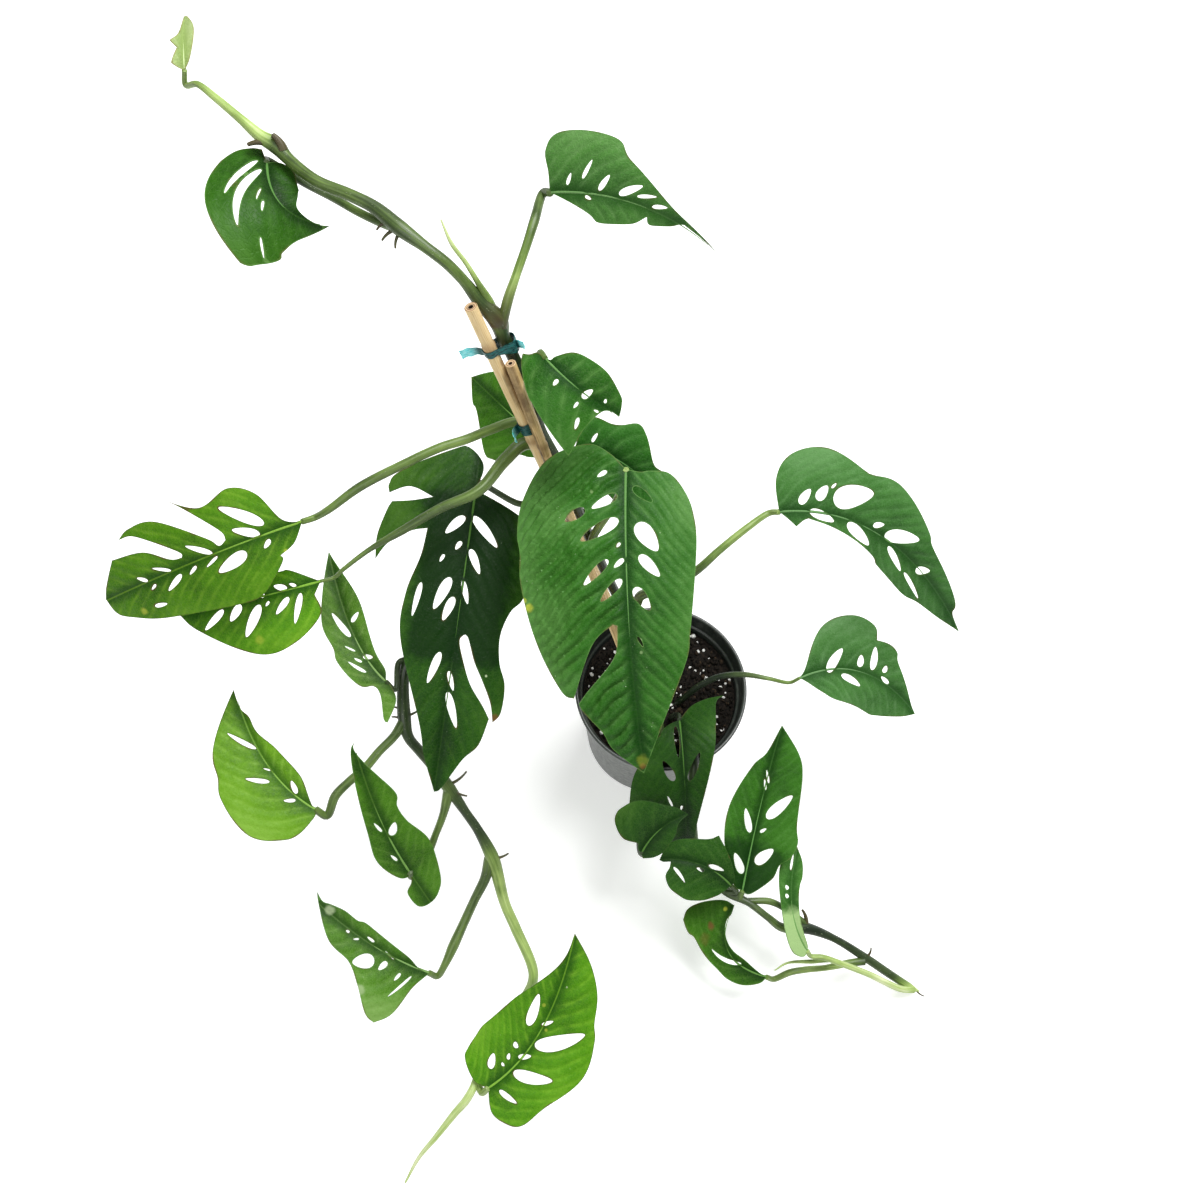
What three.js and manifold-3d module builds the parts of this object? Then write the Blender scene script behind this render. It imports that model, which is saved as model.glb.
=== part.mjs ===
// Potted monstera epipremnoides: a vining aroid with slotted leaves, tied to two bamboo canes in a round
// nursery pot. Millimetres, +Z up; the origin is the centre of the pot's base on the surface it stands on.
import * as THREE from 'three';
import Module from 'manifold-3d';
import { mergeVertices } from 'three/addons/utils/BufferGeometryUtils.js';

const wasm = await Module();
wasm.setup();

// Driving dimensions
const GAP = 0.3;
// Points of one solid that lie closer than this are one point
const WELD = 1e-4;

const POT = {
  height: 130, baseRadius: 61.5, bodyTopRadius: 70.5, rimRadius: 76,
  rimHeight: 17, wall: 1.8, floor: 2.4, lip: 2.6, ledge: 2.2, bevel: 1.5, round: 0.6, step: 1,
  drainRadius: 4, drainCircle: 42, drains: 6, drainFacets: 10, facets: 44,
};

// The soil's surface is uneven: crossed waves with their share of the crumb height and turns per millimetre
const SOIL = { top: 111, edgeDrop: 2, crumb: 1.3, rings: 6, facets: 36 };
const SOIL_WAVES = [
  { share: 1, across: 0.31, along: 0.27 }, { share: 0.5, across: 0.63, along: 0.41 },
  { share: 0.4, across: 0.12, along: 0.83 },
];

// The canes lean back and to the left. Each is given by its foot in the soil and its cut top end.
const CANE_LONG = { foot: [7, 9, 25], top: [-156.5, 101.5, 520], radius: 4.3, bore: 1.6, boreDepth: 30 };
const CANE_SHORT = { foot: [5, -15.6, 27], top: [-131.9, 91.6, 476], radius: 3.7, bore: 1.2, boreDepth: 25 };
const CANE_JOINT = { first: 128, spacing: 92, swell: 0.5, length: 3, belowTop: 10 };
const CANE_FACETS = 12;

const TIE_WALL = 0.8;
const TIE_SLACK = { cane: 0.3, vine: 1.8 };
const TIE_FACETS = 28;
// The direction that a tie's flags call right, before it is squared to the cane
const TIE_RIGHT = [0.912, 0.361, 0.218];

const BLADE_THICKNESS = 0.8;
const STEM_SIDES = 6;
const STEM_STEP = 17;
// Where a petiole's last bend lies from the blade's base: along the midrib, and above its upper face.
// It thins to these shares of its radius at that bend and at its end, an aerial root at its tip.
const PETIOLE_FOOT = [-9, -5];
const PETIOLE_THINS = { bend: 0.88, end: 0.8 };
const ROOT = { tipShare: 0.5, sides: 5 };
// Steps that a midrib's length is measured in, and half the reach that a blade's normal is taken over
const RIB_STEPS = 32;
const NORMAL_STEP = 0.5;
// How far a margin's true curve may bulge past its facets, and the most facets between two of its points
const MARGIN_BULGE = 0.35;
const MARGIN_FACETS = 3;
// Shorter holes are left out of the solids; longer ones get more facets. A hole keeps clear of the margin,
// and is fuller at one end by this share of its width.
const SMALLEST_HOLE = 6;
const LONG_HOLE = 15;
const HOLE_FACETS = { short: 6, long: 8 };
const HOLE_MARGIN = 0.8;
const HOLE_FULLNESS = 0.3;
// Rows of inner points that let a blade bend: how far right of the midrib each lies, and its spacing along it
const BEND_ROWS = [[0, 15], [-24, 30], [24, 30], [-48, 36], [48, 36]];
const FIRST_BEND = -30.7;
const BEND_CLEAR = { margin: 4, hole: 2.5 };
// Limits of the work that turns a blade's edges
const MOST_TURN_PASSES = 40;
const TINY_AREA = 1e-6;
const TINY_ANGLE = 1e-4;

// Each leaf: base and tip of its midrib, bow of the midrib at mid length, direction that its upper face
// looks in at base and tip, fold of each half along the midrib in degrees and curl in degrees per 10 mm.
// margin and holes lie in the flat leaf: distance right of the midrib (left is negative), distance along
// it from the base. A third value of 1 marks a sharp corner. A hole adds its length, width and slant.
const LEAVES = {
  leaf_top_left: {
    base: [-292, 176, 548], tip: [-254, 154, 520], bow: [-4, -19, 11],
    face: [[0.15, 0.18, 0.97], [0.85, -0.36, 0.38]], fold: 6, curl: -3,
    margin: [[3, -12, 1], [10, -12], [22, -6], [41, 18], [48, 38, 1], [46, 40], [41, 42], [31, 47],
             [26, 47], [14, 53], [0, 72, 1], [0, 63], [-5, 47], [-15, 40], [-17, 12], [-15, 4],
             [-8, 0]],
    holes: [[17.5, 9, 31.5, 3.5, 50], [18.5, 18, 39.5, 4.5, 49], [10, 22, 9, 1, 45], [12, 29, 7, 1.5, 52],
            [32, 40, 10, 1, 64]],
  },
  leaf_top_right: {
    base: [-114, 179, 540], tip: [-2, 179, 495], bow: [2, -9, 28],
    face: [[-0.5, -0.62, 0.61], [0.59, -0.78, 0.23]], fold: 6, curl: -3,
    margin: [[-12, 0], [-26, -2], [-36, 8], [-35, 42], [-24, 54], [-7, 90], [0, 137, 1], [-1, 109],
             [-1, 102], [4, 95], [9, 81], [5, 76, 1], [13, 66], [17, 40], [12, 29]],
    holes: [[-8, 14.5, 8, 2.5, -66], [-14.5, 27, 13, 2.5, -63], [-8, 39, 12, 3.5, -60],
            [-7.5, 57.5, 16.5, 5, -34], [-7, 69.5, 13, 2.5, -18], [-4, 81, 10.5, 3, -18],
            [2.5, 28.5, 5, 2, 17]],
  },
  leaf_stake_top: {
    base: [-110, 103, 468], tip: [-58, 79, 442], bow: [-3, -5, 7],
    face: [[-0.29, -0.25, 0.93], [0.46, -0.64, 0.61]], fold: 8, curl: -3,
    margin: [[1, -7], [6, -10], [9, -14, 1], [15, -8], [25, 10], [28, 19], [40, 53, 1], [20, 51],
             [5, 54], [0, 59], [0, 66, 1], [-8, 63], [-13, 59], [-20, 44], [-20, 27], [-16, 13],
             [-6, 5], [-2, 4]],
    holes: [[6.5, 18.5, 5, 3, 85], [-1, 40.5, 9, 4.5, -72], [9.5, 38.5, 5, 2, -87], [-4, 53, 3, 2, 65],
            [5, 51.5, 3.5, 1.5, -11], [19, 45.5, 8, 2.5, 73]],
  },
  leaf_behind_stake: {
    base: [-122, 105, 368], tip: [-173, 158, 352], bow: [4, -8, 8],
    face: [[0.05, -0.49, 0.87], [-0.54, 0.05, 0.84]], fold: 6, curl: -3,
    margin: [[-4, -13], [-11, -16, 1], [-15, -11], [-19, -4], [-29, -1], [-34, 13], [-34, 25],
             [-16, 54], [-13, 62], [0, 77, 1], [14, 67], [20, 57], [21, 43], [14, 10], [9, -2, 1]],
    holes: [],
  },
  leaf_behind_big: {
    base: [-77, 103, 352], tip: [-11, 78, 315], bow: [-2, 4, 12],
    face: [[-0.21, -0.47, 0.86], [0.3, -0.73, 0.62]], fold: 6, curl: -3,
    margin: [[2, -6], [-1, -12, 1], [-18, -8], [-25, -1], [-23, 12], [-25, 20], [-31, 29], [-27, 37],
             [-14, 52], [-14, 61], [-12, 71], [-7, 79], [0, 83], [15, 81], [24, 70], [27, 51],
             [23, 25], [13, 3], [6, -4, 1]],
    holes: [[-10, 2.5, 8, 3, -62], [15, 21, 12, 6, -35]],
  },
  leaf_big: {
    base: [-50, 62, 401.6], tip: [-18.2, -131, 312.6], bow: [-5, -7, 19],
    face: [[-0.04, -0.08, 1.0], [0.06, -0.68, 0.73]], fold: 4, curl: -1.6,
    margin: [[13, -13], [29, -19], [56, -8], [73, 21], [76, 44], [74, 59], [74, 83], [63, 127],
             [50, 156], [42, 161, 1], [26, 125], [11, 112, 1], [8, 113, 1], [12, 135], [35, 160],
             [38, 168], [25, 186], [19, 199], [0, 219, 1], [-35, 148], [-42, 120], [-49, 60],
             [-47, 31], [-40, 13], [-30, 2], [-17, 1], [-10, 2]],
    holes: [[16.5, 4, 8, 3.5, 55], [14.5, 24.5, 20, 6.5, 61], [35, 34, 16, 7, 58], [18, 45, 30, 9, 60],
            [5, 69, 9, 3.5, 48], [21, 75, 24, 6, 45], [11, 88, 21, 6, 45], [-12, 19, 17, 6, -50],
            [-15, 50.5, 24.5, 12, -33], [-16, 71.5, 20.5, 7.5, -40], [-10, 95, 19, 8, -30],
            [-7, 125, 8, 2, -25], [5, 56, 4, 2, 37]],
  },
  leaf_dark: {
    base: [-159, 65, 345], tip: [-168, -147, 275], bow: [2, 10, 15],
    face: [[0.12, -0.07, 0.99], [0.11, -0.46, 0.88]], fold: 6, curl: -2,
    margin: [[-4, -17], [0, -27], [10, -34], [19, -31], [57, -9], [64, 2], [63, 11, 1], [48, 4],
             [30, 13, 1], [45, 18], [60, 20, 1], [63, 29], [67, 53], [66, 73, 1], [58, 59], [43, 47],
             [31, 43, 1], [33, 67], [40, 98], [39, 132], [17, 186], [11, 204], [0, 225, 1], [-5, 222],
             [-17, 204], [-27, 194], [-32, 177, 1], [-26, 169], [-15, 156], [-7.6, 140.5], [-3.5, 129],
             [-4.5, 124.5], [-8.5, 124], [-15.7, 140.5], [-23.5, 153], [-31.5, 167], [-35, 179, 1],
             [-40, 172], [-40, 154], [-34, 139], [-32, 120], [-37, 102], [-45, 90], [-46, 66], [-42, 41],
             [-36, 23], [-29, 16]],
    holes: [[11.5, 36.5, 21.5, 7, 33], [-11, 39, 32.5, 7.5, -38], [7, 54.5, 8.5, 3.5, 23],
            [-6.5, 66, 21.5, 5.5, -24], [17.5, 67, 7, 2.5, 20], [14, 94.5, 27, 7.5, 19],
            [-2.5, 91.5, 18.5, 4, -18], [8, 105.5, 19, 6, 17], [31.5, 101.5, 26, 4, 7],
            [12.5, 148, 22.5, 5.5, 16], [-1, 155.5, 13.5, 3.5, -23], [-4.5, 174, 24, 5.5, -24]],
  },
  leaf_left_upper: {
    base: [-268, 3, 395], tip: [-410, -40, 330], bow: [8, -4, 18],
    face: [[0.25, -0.41, 0.88], [-0.38, -0.68, 0.63]], fold: 5, curl: -2.5,
    margin: [[6, 16], [28, 29], [38, 49], [33, 76], [51, 105, 1], [39, 90], [14, 67], [6, 65, 1],
             [4, 72], [12, 79], [36, 111], [39, 132], [35, 142, 1], [32, 129], [11, 103], [6, 102, 1],
             [8, 111], [20, 128], [24, 152, 1], [1, 172, 1], [-11, 168], [-19, 157], [-29, 133],
             [-39, 78], [-38, 55], [-22, 29], [-17, 28, 1], [-12, 13]],
    holes: [[17.5, 46, 36, 8, 35], [6, 47.5, 21.5, 6, 25], [6.5, 87.5, 20.5, 4, 34],
            [-6.5, 35, 8.5, 3.5, -29], [-10, 67, 27.5, 8.5, -12], [-4.5, 82, 12, 2, -20],
            [-5, 98.5, 8.5, 2.5, -26], [-8, 115.5, 16.5, 4, -25], [4, 120.5, 14, 2.5, 28],
            [3, 137.5, 8.5, 3, 37], [-18.5, 133.5, 10, 3, 9], [-5, 132, 5.5, 2, -24]],
  },
  leaf_left_lower: {
    base: [-259, -21, 350], tip: [-362, -46, 322], bow: [2, -3, 6],
    face: [[0.11, -0.42, 0.9], [-0.31, -0.51, 0.8]], fold: 6, curl: -3,
    margin: [[13, 20], [14, 28], [15, 59], [6, 96], [0, 110, 1], [-14, 98], [-40, 61], [-38, 32],
             [-23, 7], [-8, 7, 1]],
    holes: [[3, 30.5, 10, 4.5, 24], [1, 46, 5.5, 4, 7], [-6, 43, 4.5, 2, -38], [-10, 32.5, 15.5, 4.5, -37],
            [-14.5, 22, 22.5, 4.5, -62], [-15.5, 57, 26, 7, -50], [-7, 68, 14.5, 6, -43],
            [-8.5, 85, 20.5, 5, -33], [2.5, 21, 5.5, 2.5, 31], [1, 56, 5, 1.5, 4]],
  },
  leaf_hanging_left: {
    base: [-212, -72, 292], tip: [-268, 23, 305], bow: [-1, -14, 2],
    face: [[0.13, -0.29, 0.95], [0.08, -0.01, 1.0]], fold: 14, curl: -2,
    margin: [[6, 10], [8, 30], [13, 77], [0, 113, 1], [-11, 90], [-19, 68], [-18, 50], [-20, 39],
             [-16, 14], [-9, 6], [-10, -3], [-22, -17], [-22, -21, 1], [-6, -15], [0, -5]],
    holes: [[-6, 63.5, 21.5, 4.5, -17], [6, 66, 9, 3.5, 55], [-7, 44.5, 9, 1.5, -36],
            [-9.5, 28, 17, 2.5, -23], [-6, 33, 7, 2, -28], [1.5, 31, 8, 4, -44]],
  },
  leaf_left_round: {
    base: [-256, -162, 250], tip: [-330, -78, 262], bow: [-4, -12, 2],
    face: [[0.14, -0.18, 0.97], [0.14, 0.03, 0.99]], fold: 14, curl: -2,
    margin: [[1, 4], [13, 29], [12, 61], [5, 82], [4, 94], [0, 102], [-1, 115, 1], [-29, 82],
             [-35, 65], [-41, 53], [-43, 26], [-31, 8], [-21, 1], [-5, -2]],
    holes: [[-8, 79.5, 22.5, 3.5, -39], [-2, 52.5, 6.5, 1.5, -39], [-12.5, 49.5, 17, 3.5, -47],
            [4, 27, 12, 4, 19], [-5.5, 22, 9, 3, -40]],
  },
  leaf_twisted: {
    base: [-185, -196, 220], tip: [-227, -122, 300], bow: [-2, -5, 2],
    face: [[0.49, -0.58, 0.64], [0.28, -0.52, 0.81]], fold: 8, curl: -2,
    margin: [[-3, -9], [-10, -15], [-9, -31], [0, -36], [10, -31], [18, -18], [25, 16], [17, 44],
             [15, 59], [17, 72], [0, 108], [0, 117, 1], [-5, 106], [-12, 52], [-16, 25], [-9, 2],
             [-1, -4, 1]],
    holes: [[5.5, 42, 11.5, 6, 33], [-4, 49, 10, 2, -15], [-4, 19, 8, 2, -15]],
  },
  leaf_low_left: {
    base: [-168, -260, 146], tip: [-257, -219, 178], bow: [1, -6, 3],
    face: [[0.42, -0.17, 0.89], [0.14, -0.11, 0.98]], fold: 14, curl: -2,
    margin: [[1, 11], [6, 26], [11, 64], [9, 74], [9, 86], [6, 97], [3.6, 103], [6, 111, 1], [0, 104],
             [-16, 82], [-20, 62], [-31, 48], [-46, 34], [-49, 26, 1], [-38, 17], [-15, 10]],
    holes: [[-13.8, 53, 16.5, 10.5, -38], [-9.5, 38.5, 9, 4.5, -68], [-12, 24.5, 7.5, 2.5, -69],
            [-17.5, 19.5, 23.5, 2, -62], [3, 57, 7, 2, 5], [0, 37.5, 9.5, 1, 15], [-2, 75, 3, 2, -10],
            [-3, 66.5, 4.5, 1.5, -38]],
  },
  leaf_front: {
    base: [-114, -339, 112], tip: [-57, -226, 185], bow: [9, -12, -7],
    face: [[-0.27, -0.27, 0.92], [-0.06, -0.53, 0.85]], fold: 6, curl: -2.5,
    margin: [[-10, -7], [-27, -6], [-34, 0], [-38, 20], [-39, 45], [-29, 89], [-5, 129], [0, 150, 1],
             [17, 134], [29, 116], [35, 97], [41, 86], [47, 61], [39, 29], [38, 8], [31, -1], [17, -7]],
    holes: [[-12, 86.5, 29, 7.5, -6], [2, 82.5, 10, 3, 42], [17, 74, 40, 11.5, 47], [-10, 50, 6, 4.5, -32],
            [-8.5, 36.5, 6.5, 3, -21], [1, 47, 11.5, 4.5, 38], [-15, 19.5, 16, 6.5, -23],
            [16, 38, 32, 10, 55], [14, 11.5, 17, 5, 68], [-7.5, 26.5, 3.5, 3, -50]],
  },
  leaf_right_upper: {
    base: [73, 90, 305], tip: [236, 36, 225], bow: [1, 14, 37],
    face: [[-0.31, -0.47, 0.83], [0.12, -0.85, 0.5]], fold: 6, curl: -2.5,
    margin: [[-26, 0], [-44, 11], [-50, 35], [-40, 63], [-39, 70], [-41, 89], [-26, 126], [-19, 139],
             [-9, 182], [-2, 191], [0, 206, 1], [10, 188], [17, 169], [23, 153], [21, 118], [16, 102],
             [7, 37], [6, 26], [12, 16, 1]],
    holes: [[-11.5, 23, 14.5, 7, -54], [-15.5, 37, 13.5, 8, -62], [-18.5, 61.5, 31.5, 17.5, -29],
            [2, 40.5, 25, 7, 12], [7, 81, 31, 8, 16], [-6.5, 92, 9, 5, -34], [7.5, 124, 26.5, 4.5, 18],
            [-9, 114, 27.5, 11.5, -30], [12.5, 153, 27, 3, 10], [-1.5, 148, 11, 7, -49],
            [-22.5, 45, 5, 2, -57]],
  },
  leaf_right_lower: {
    base: [114, 2, 176], tip: [220, -10, 145], bow: [0, 16, 16],
    face: [[-0.12, -0.32, 0.94], [0.14, -0.69, 0.71]], fold: 6, curl: -2.5,
    margin: [[-8, 9], [-37, 27], [-46, 45], [-41, 59], [-30, 63, 1], [-31, 72], [-28, 79], [-20, 85],
             [-4, 111], [0, 122, 1], [12, 116], [25, 103], [30, 88], [27, 37], [17, 15]],
    holes: [[-7.5, 33, 23.5, 8, -56], [-9, 56, 10.5, 5.5, 80], [-14.5, 66, 20, 5.5, 75],
            [-10.5, 78, 6.5, 4, 76], [8.5, 52, 25, 5.5, 15], [-2.5, 83.5, 9.5, 3.5, 12]],
  },
  leaf_over_rim: {
    base: [16, -38, 156], tip: [34, -130, 80], bow: [-1, -3, 28],
    face: [[-0.17, 0.27, 0.95], [0.01, -0.92, 0.4]], fold: 6, curl: -2,
    margin: [[-11, -12], [-24, -18], [-40, -21, 1], [-33, -14], [-30, 11], [-26, 41], [-11, 102],
             [-7, 122], [0, 133], [16, 132], [36, 124], [47, 109], [48, 91], [41, 57], [18, 16],
             [11, 6]],
    holes: [[4, 25, 36, 4, 0], [13, 56, 23, 7, -20], [-9, 53, 30, 6, 20], [13, 87, 11, 2, -20],
            [3.5, 93.5, 4.5, 2, 8]],
  },
  leaf_under_rim: {
    base: [-7, -147, 124], tip: [29, -114, 138], bow: [-4, 3, 3],
    face: [[-0.16, -0.44, 0.89], [0.03, -0.19, 0.98]], fold: 5, curl: -3,
    margin: [[-4, 2], [-6, 6, 1], [-19, 3], [-32, 8], [-36, 13], [-35, 18], [-30, 27], [-15, 39],
             [-10, 45], [0, 53, 1], [4, 43], [12, 33], [15, 14], [11, 3], [3, -3, 1]],
    holes: [],
  },
  leaf_low_front: {
    base: [74, -160, 86], tip: [10, -145, 95], bow: [3, 7, 4],
    face: [[0.11, -0.39, 0.91], [-0.05, -0.2, 0.98]], fold: 8, curl: -2,
    margin: [[-15, 3], [-27, 14], [-32, 38], [-26, 59], [-15, 65], [-7, 61], [-2, 60, 1], [-2, 66],
             [0, 69, 1], [15, 59], [22, 36], [29, 29, 1], [24, 24], [7, 3]],
    holes: [[-12.5, 51, 17.5, 3, 42], [-4, 32, 8, 3, 0], [3.5, 20, 14, 4, -15]],
  },
  leaf_low_right: {
    base: [85, -162, 78], tip: [106, -29, 140], bow: [-1, 6, 3],
    face: [[-0.16, -0.41, 0.9], [-0.17, -0.38, 0.91]], fold: 12, curl: -2,
    margin: [[-10, 5], [-24, 35], [-26, 65], [-15, 102], [-6, 118], [0, 148, 1], [21, 125], [29, 104],
             [34, 62], [38, 47], [35, 34], [27, 26], [23, 14], [7, -1]],
    holes: [[-0.5, 88.5, 9.5, 2, -20], [0, 96, 12, 2, -23], [16, 73, 30, 9, 34], [-8, 55, 20.5, 5.5, -24],
            [7, 50, 6.5, 2.5, 47], [12.5, 30, 19, 8.5, 42], [-8, 20, 17.5, 6.5, -35]],
  },
  leaf_folded: {
    base: [146, -205, 58], tip: [131, -121, 84], bow: [-10, -7, 5],
    face: [[0.14, -0.53, 0.83], [-0.13, -0.03, 0.99]], fold: 10, curl: 4,
    margin: [[-5, -2], [-10, 3], [-12, 12], [-10, 45], [-12, 77], [-8, 85], [0, 94, 1], [7, 84],
             [9, 72], [7, 60], [4, 11]],
    holes: [[-2, 82, 12, 2, 0], [-4, 62, 4, 3, -35], [-4, 55, 4, 3, -30]],
  },
  leaf_low_curled: {
    base: [116, -226, 26], tip: [82, -170, 52], bow: [-20, -10, 1],
    face: [[0.23, -0.19, 0.95], [-0.12, -0.17, 0.98]], fold: 8, curl: 2,
    margin: [[-7, 4], [-14, 15], [-17, 27], [-18, 39], [-27, 57], [-34, 61], [-40, 67, 1], [-36, 74],
             [-12, 85], [0, 86, 1], [1, 79], [-1, 70], [4, 41], [6, 21]],
    holes: [[-6, 36.5, 30.5, 3.5, -30]],
  },
  leaf_young_tip: {
    base: [-350, 228, 566], tip: [-362, 277, 562], bow: [3, -8, 6],
    face: [[0.32, -0.68, 0.66], [0.19, 0.37, 0.91]], fold: 35, curl: 6,
    margin: [[-10, 5, 1], [-5, 20, 1], [-11, 21, 1], [-4, 34], [0, 52, 1], [3, 51], [8, 37], [5, 14]],
    holes: [],
  },
};

// Stems: centre line points with the stem's radius at each. A petiole that carries a leaf names it, and its
// last stretch, which rises under the base of the blade, follows from the leaf.
const STEMS = {
  vine_main: [
    { route: [[-17.9, 30.7, 88, 4.2], [-23.8, 36.8, 119, 4.2], [-38.6, 46.1, 182, 4.2],
              [-59.8, 58.3, 242, 4.2], [-81, 70.4, 308, 4.3], [-99.1, 79.9, 369.6, 4.3],
              [-112.8, 88.3, 401, 4.3], [-119.1, 92.3, 431, 4.4], [-126, 99.2, 451, 4.4],
              [-133.6, 105, 471, 4.5], [-138, 106.6, 483, 4.6], [-141, 107, 501, 6.6],
              [-152, 111, 513, 4.6],
              [-162, 115.1, 527.5, 3.5], [-172.3, 118.8, 538.4, 3.6], [-185.9, 124.1, 546, 3.6],
              [-202, 133, 550, 5.2], [-219, 146, 551, 4.2], [-235, 153, 552, 4],
              [-258, 161.5, 552.5, 3.9], [-278.1, 176.5, 553.4, 3.8], [-286, 184, 555, 5.6],
              [-295, 187, 558, 4.2], [-310, 197, 562, 2.9], [-327, 209, 565, 2.5],
              [-339.2, 217.5, 565.8, 2.1]], leaf: 'leaf_young_tip' },
    { route: [[-201, 133, 548, 3], [-216, 143, 541, 2.8], [-231, 151, 539, 2.7], [-251, 163, 537, 2.6],
              [-270, 171, 539, 2.6]], leaf: 'leaf_top_left' },
    { route: [[-138, 104, 498, 3.4], [-134.9, 114, 512, 3.5], [-130.7, 125.9, 522, 2.9],
              [-125.5, 142.1, 532, 2.9], [-122, 158.2, 537.1, 3.3]], leaf: 'leaf_top_right' },
    { route: [[-141, 108, 500, 3], [-147, 113, 512, 3.2], [-153.7, 116.6, 525.8, 1.8],
              [-160.6, 120.9, 537.5, 1.5], [-169.2, 125.1, 549.6, 1.4], [-176, 134, 560, 0.5]] },
    { route: [[-120.6, 93.4, 436, 2.6], [-116, 97, 446, 2.4]], leaf: 'leaf_stake_top' },
    { route: [[-96.9, 78.8, 362, 2.6], [-104, 92, 361, 2.4]], leaf: 'leaf_behind_stake' },
    { route: [[-78.5, 69, 300, 2.6], [-76, 80, 313, 2.5], [-79, 91, 330, 2.4]], leaf: 'leaf_behind_big' },
    { route: [[-68, 63, 268, 3.4], [-69.8, 61.3, 290, 3.4], [-65.5, 65.5, 302, 3.3],
              [-60.5, 67.5, 317, 3.2], [-55.5, 68.3, 335, 3.1], [-51, 67, 364, 3]],
      leaf: 'leaf_big', foot: [3, -9] },
    { route: [[-35.3, 44, 168, 3.4], [-31.5, 46.5, 182, 3.6], [-28.5, 46, 204, 3.8],
              [-26.4, 42.8, 228.3, 4.3], [-8, 41, 252, 3.6], [13, 45, 280, 3.4], [30, 60, 291, 3.1],
              [50, 77.5, 299, 2.9]], leaf: 'leaf_right_upper' },
    { route: [[-86.3, 73, 326, 2.8], [-94, 80, 329, 2.6], [-105, 78, 332, 2.6], [-113, 70, 334, 2.5],
              [-119, 63, 335.5, 2.4], [-127.1, 60.5, 338.1, 2.5]], leaf: 'leaf_dark' },
    { route: [[-106.3, 84.3, 386, 3.6], [-116, 92, 393, 3.5], [-129, 93, 401, 3.4], [-147, 79, 410, 3.4],
              [-162, 65, 418, 3.3], [-178, 56, 420, 3.2], [-203.2, 40.3, 418.1, 3.1],
              [-230.2, 25.3, 410.1, 3.2], [-249.6, 11.6, 400.8, 2.7]], leaf: 'leaf_left_upper' },
    { route: [[-99.3, 80, 370, 4.8], [-110, 88.5, 377, 5], [-124, 86, 383, 4.9], [-136, 70, 386, 4.8],
              [-152, 42, 388, 4],
              [-177, 28, 384, 3.4], [-204, 12, 374, 3], [-225.7, 0.8, 363.4, 1.9],
              [-243, -12, 355, 1.6]],
      leaf: 'leaf_left_lower' },
  ],
  vine_left: [
    { route: [[-3, 25.5, 88, 4.2], [-10, 30, 112, 4.2], [-20.2, 32.3, 150, 4.2], [-31.1, 32.5, 185, 4.2],
              [-43, 26, 217, 4.2], [-54.5, 23, 230, 4.2], [-68, 22, 240, 4.3], [-91.8, 22, 266, 4.4],
              [-122.7, 19.8, 284, 4.4], [-141.7, -1.3, 290, 4.4], [-158.8, -17, 292, 4.4],
              [-172.9, -30.5, 292, 4.4], [-188.2, -41.7, 290, 4.4], [-198.4, -52.3, 286, 4.2],
              [-201.4, -62.4, 280.5, 4.2], [-198.7, -90.1, 266.9, 5.2],
              [-194.7, -102.9, 259.6, 4], [-186.5, -110.5, 253, 3.9], [-177, -118.5, 246, 3.9],
              [-163.5, -131.2, 232.5, 5], [-149.1, -146.1, 216, 3.5], [-138.5, -157, 203.6, 3.7],
              [-126, -174.5, 188, 5.4], [-114, -204, 162, 4.1], [-104.3, -220.1, 149.9, 4.2],
              [-87, -252, 130, 4.1], [-92.5, -268.5, 112, 3.8], [-105, -285.5, 104, 3.5],
              [-117.5, -300.5, 102, 3.3], [-126, -315, 101, 3.1]], leaf: 'leaf_front' },
    { route: [[-197.8, -51, 286.5, 2.4], [-205.4, -54.5, 287.5, 2.2]], leaf: 'leaf_hanging_left' },
    { route: [[-198.5, -93, 266, 4.2], [-204.6, -104.6, 263.2, 3.4], [-214.1, -116.9, 262, 3.3],
              [-223, -130, 260, 3.4], [-234.1, -141.2, 257.3, 3.3], [-242.9, -151.5, 253.2, 3.5]],
      leaf: 'leaf_left_round' },
    { route: [[-162, -132, 231, 4.6], [-165.2, -150.8, 221.1, 3], [-169.5, -163.5, 213.2, 2.7],
              [-175, -180, 207, 3.2]], leaf: 'leaf_twisted' },
    { route: [[-128.2, -174.5, 187.2, 4.7], [-130.7, -188.3, 178.3, 4.1], [-137.8, -204.1, 168.4, 3.6],
              [-145.1, -222, 158.4, 3.7], [-151.6, -239, 151.4, 4.2], [-156.5, -252.2, 147.3, 3]],
      leaf: 'leaf_low_left' },
    { route: [[-126, -315, 101, 2.4], [-125, -334, 103, 3], [-130.4, -348.4, 103.7, 3.3],
              [-139.2, -359.8, 99.1, 2.9], [-152.2, -377.8, 90.1, 2.3], [-164.7, -394.2, 79.9, 1.6],
              [-173.6, -412.8, 71.1, 0.8]] },
  ],
  vine_right: [
    { route: [[21, -22, 88, 4.2], [28, -36, 112, 4.2], [31, -52, 129, 4.2], [32, -65, 135.2, 4.2],
              [32, -78, 135.4, 4.2], [33, -90, 126, 4.2], [35, -98, 108, 4.2], [38, -110, 85, 4.2],
              [44, -128, 68, 4.2], [56, -146, 64, 4.2], [73, -162, 68, 4.2], [92.1, -170.4, 69.7, 3],
              [109.7, -180.4, 64.9, 3.1], [124, -186.5, 55.5, 4], [146, -184, 48, 5.2],
              [173.1, -189.2, 37.5, 3.3], [204.7, -202.2, 25.5, 3.9], [227.8, -212.8, 16, 3.8],
              [247.9, -221.6, 9, 3.4], [256.2, -224.5, 6.9, 0.9]] },
    { route: [[71, -161, 70, 2.6], [71, -163, 74, 2.4]], leaf: 'leaf_low_front' },
    { route: [[146, -181, 49.5, 3], [130, -173, 58, 2.7], [110.9, -167.3, 67.9, 3]],
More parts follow.
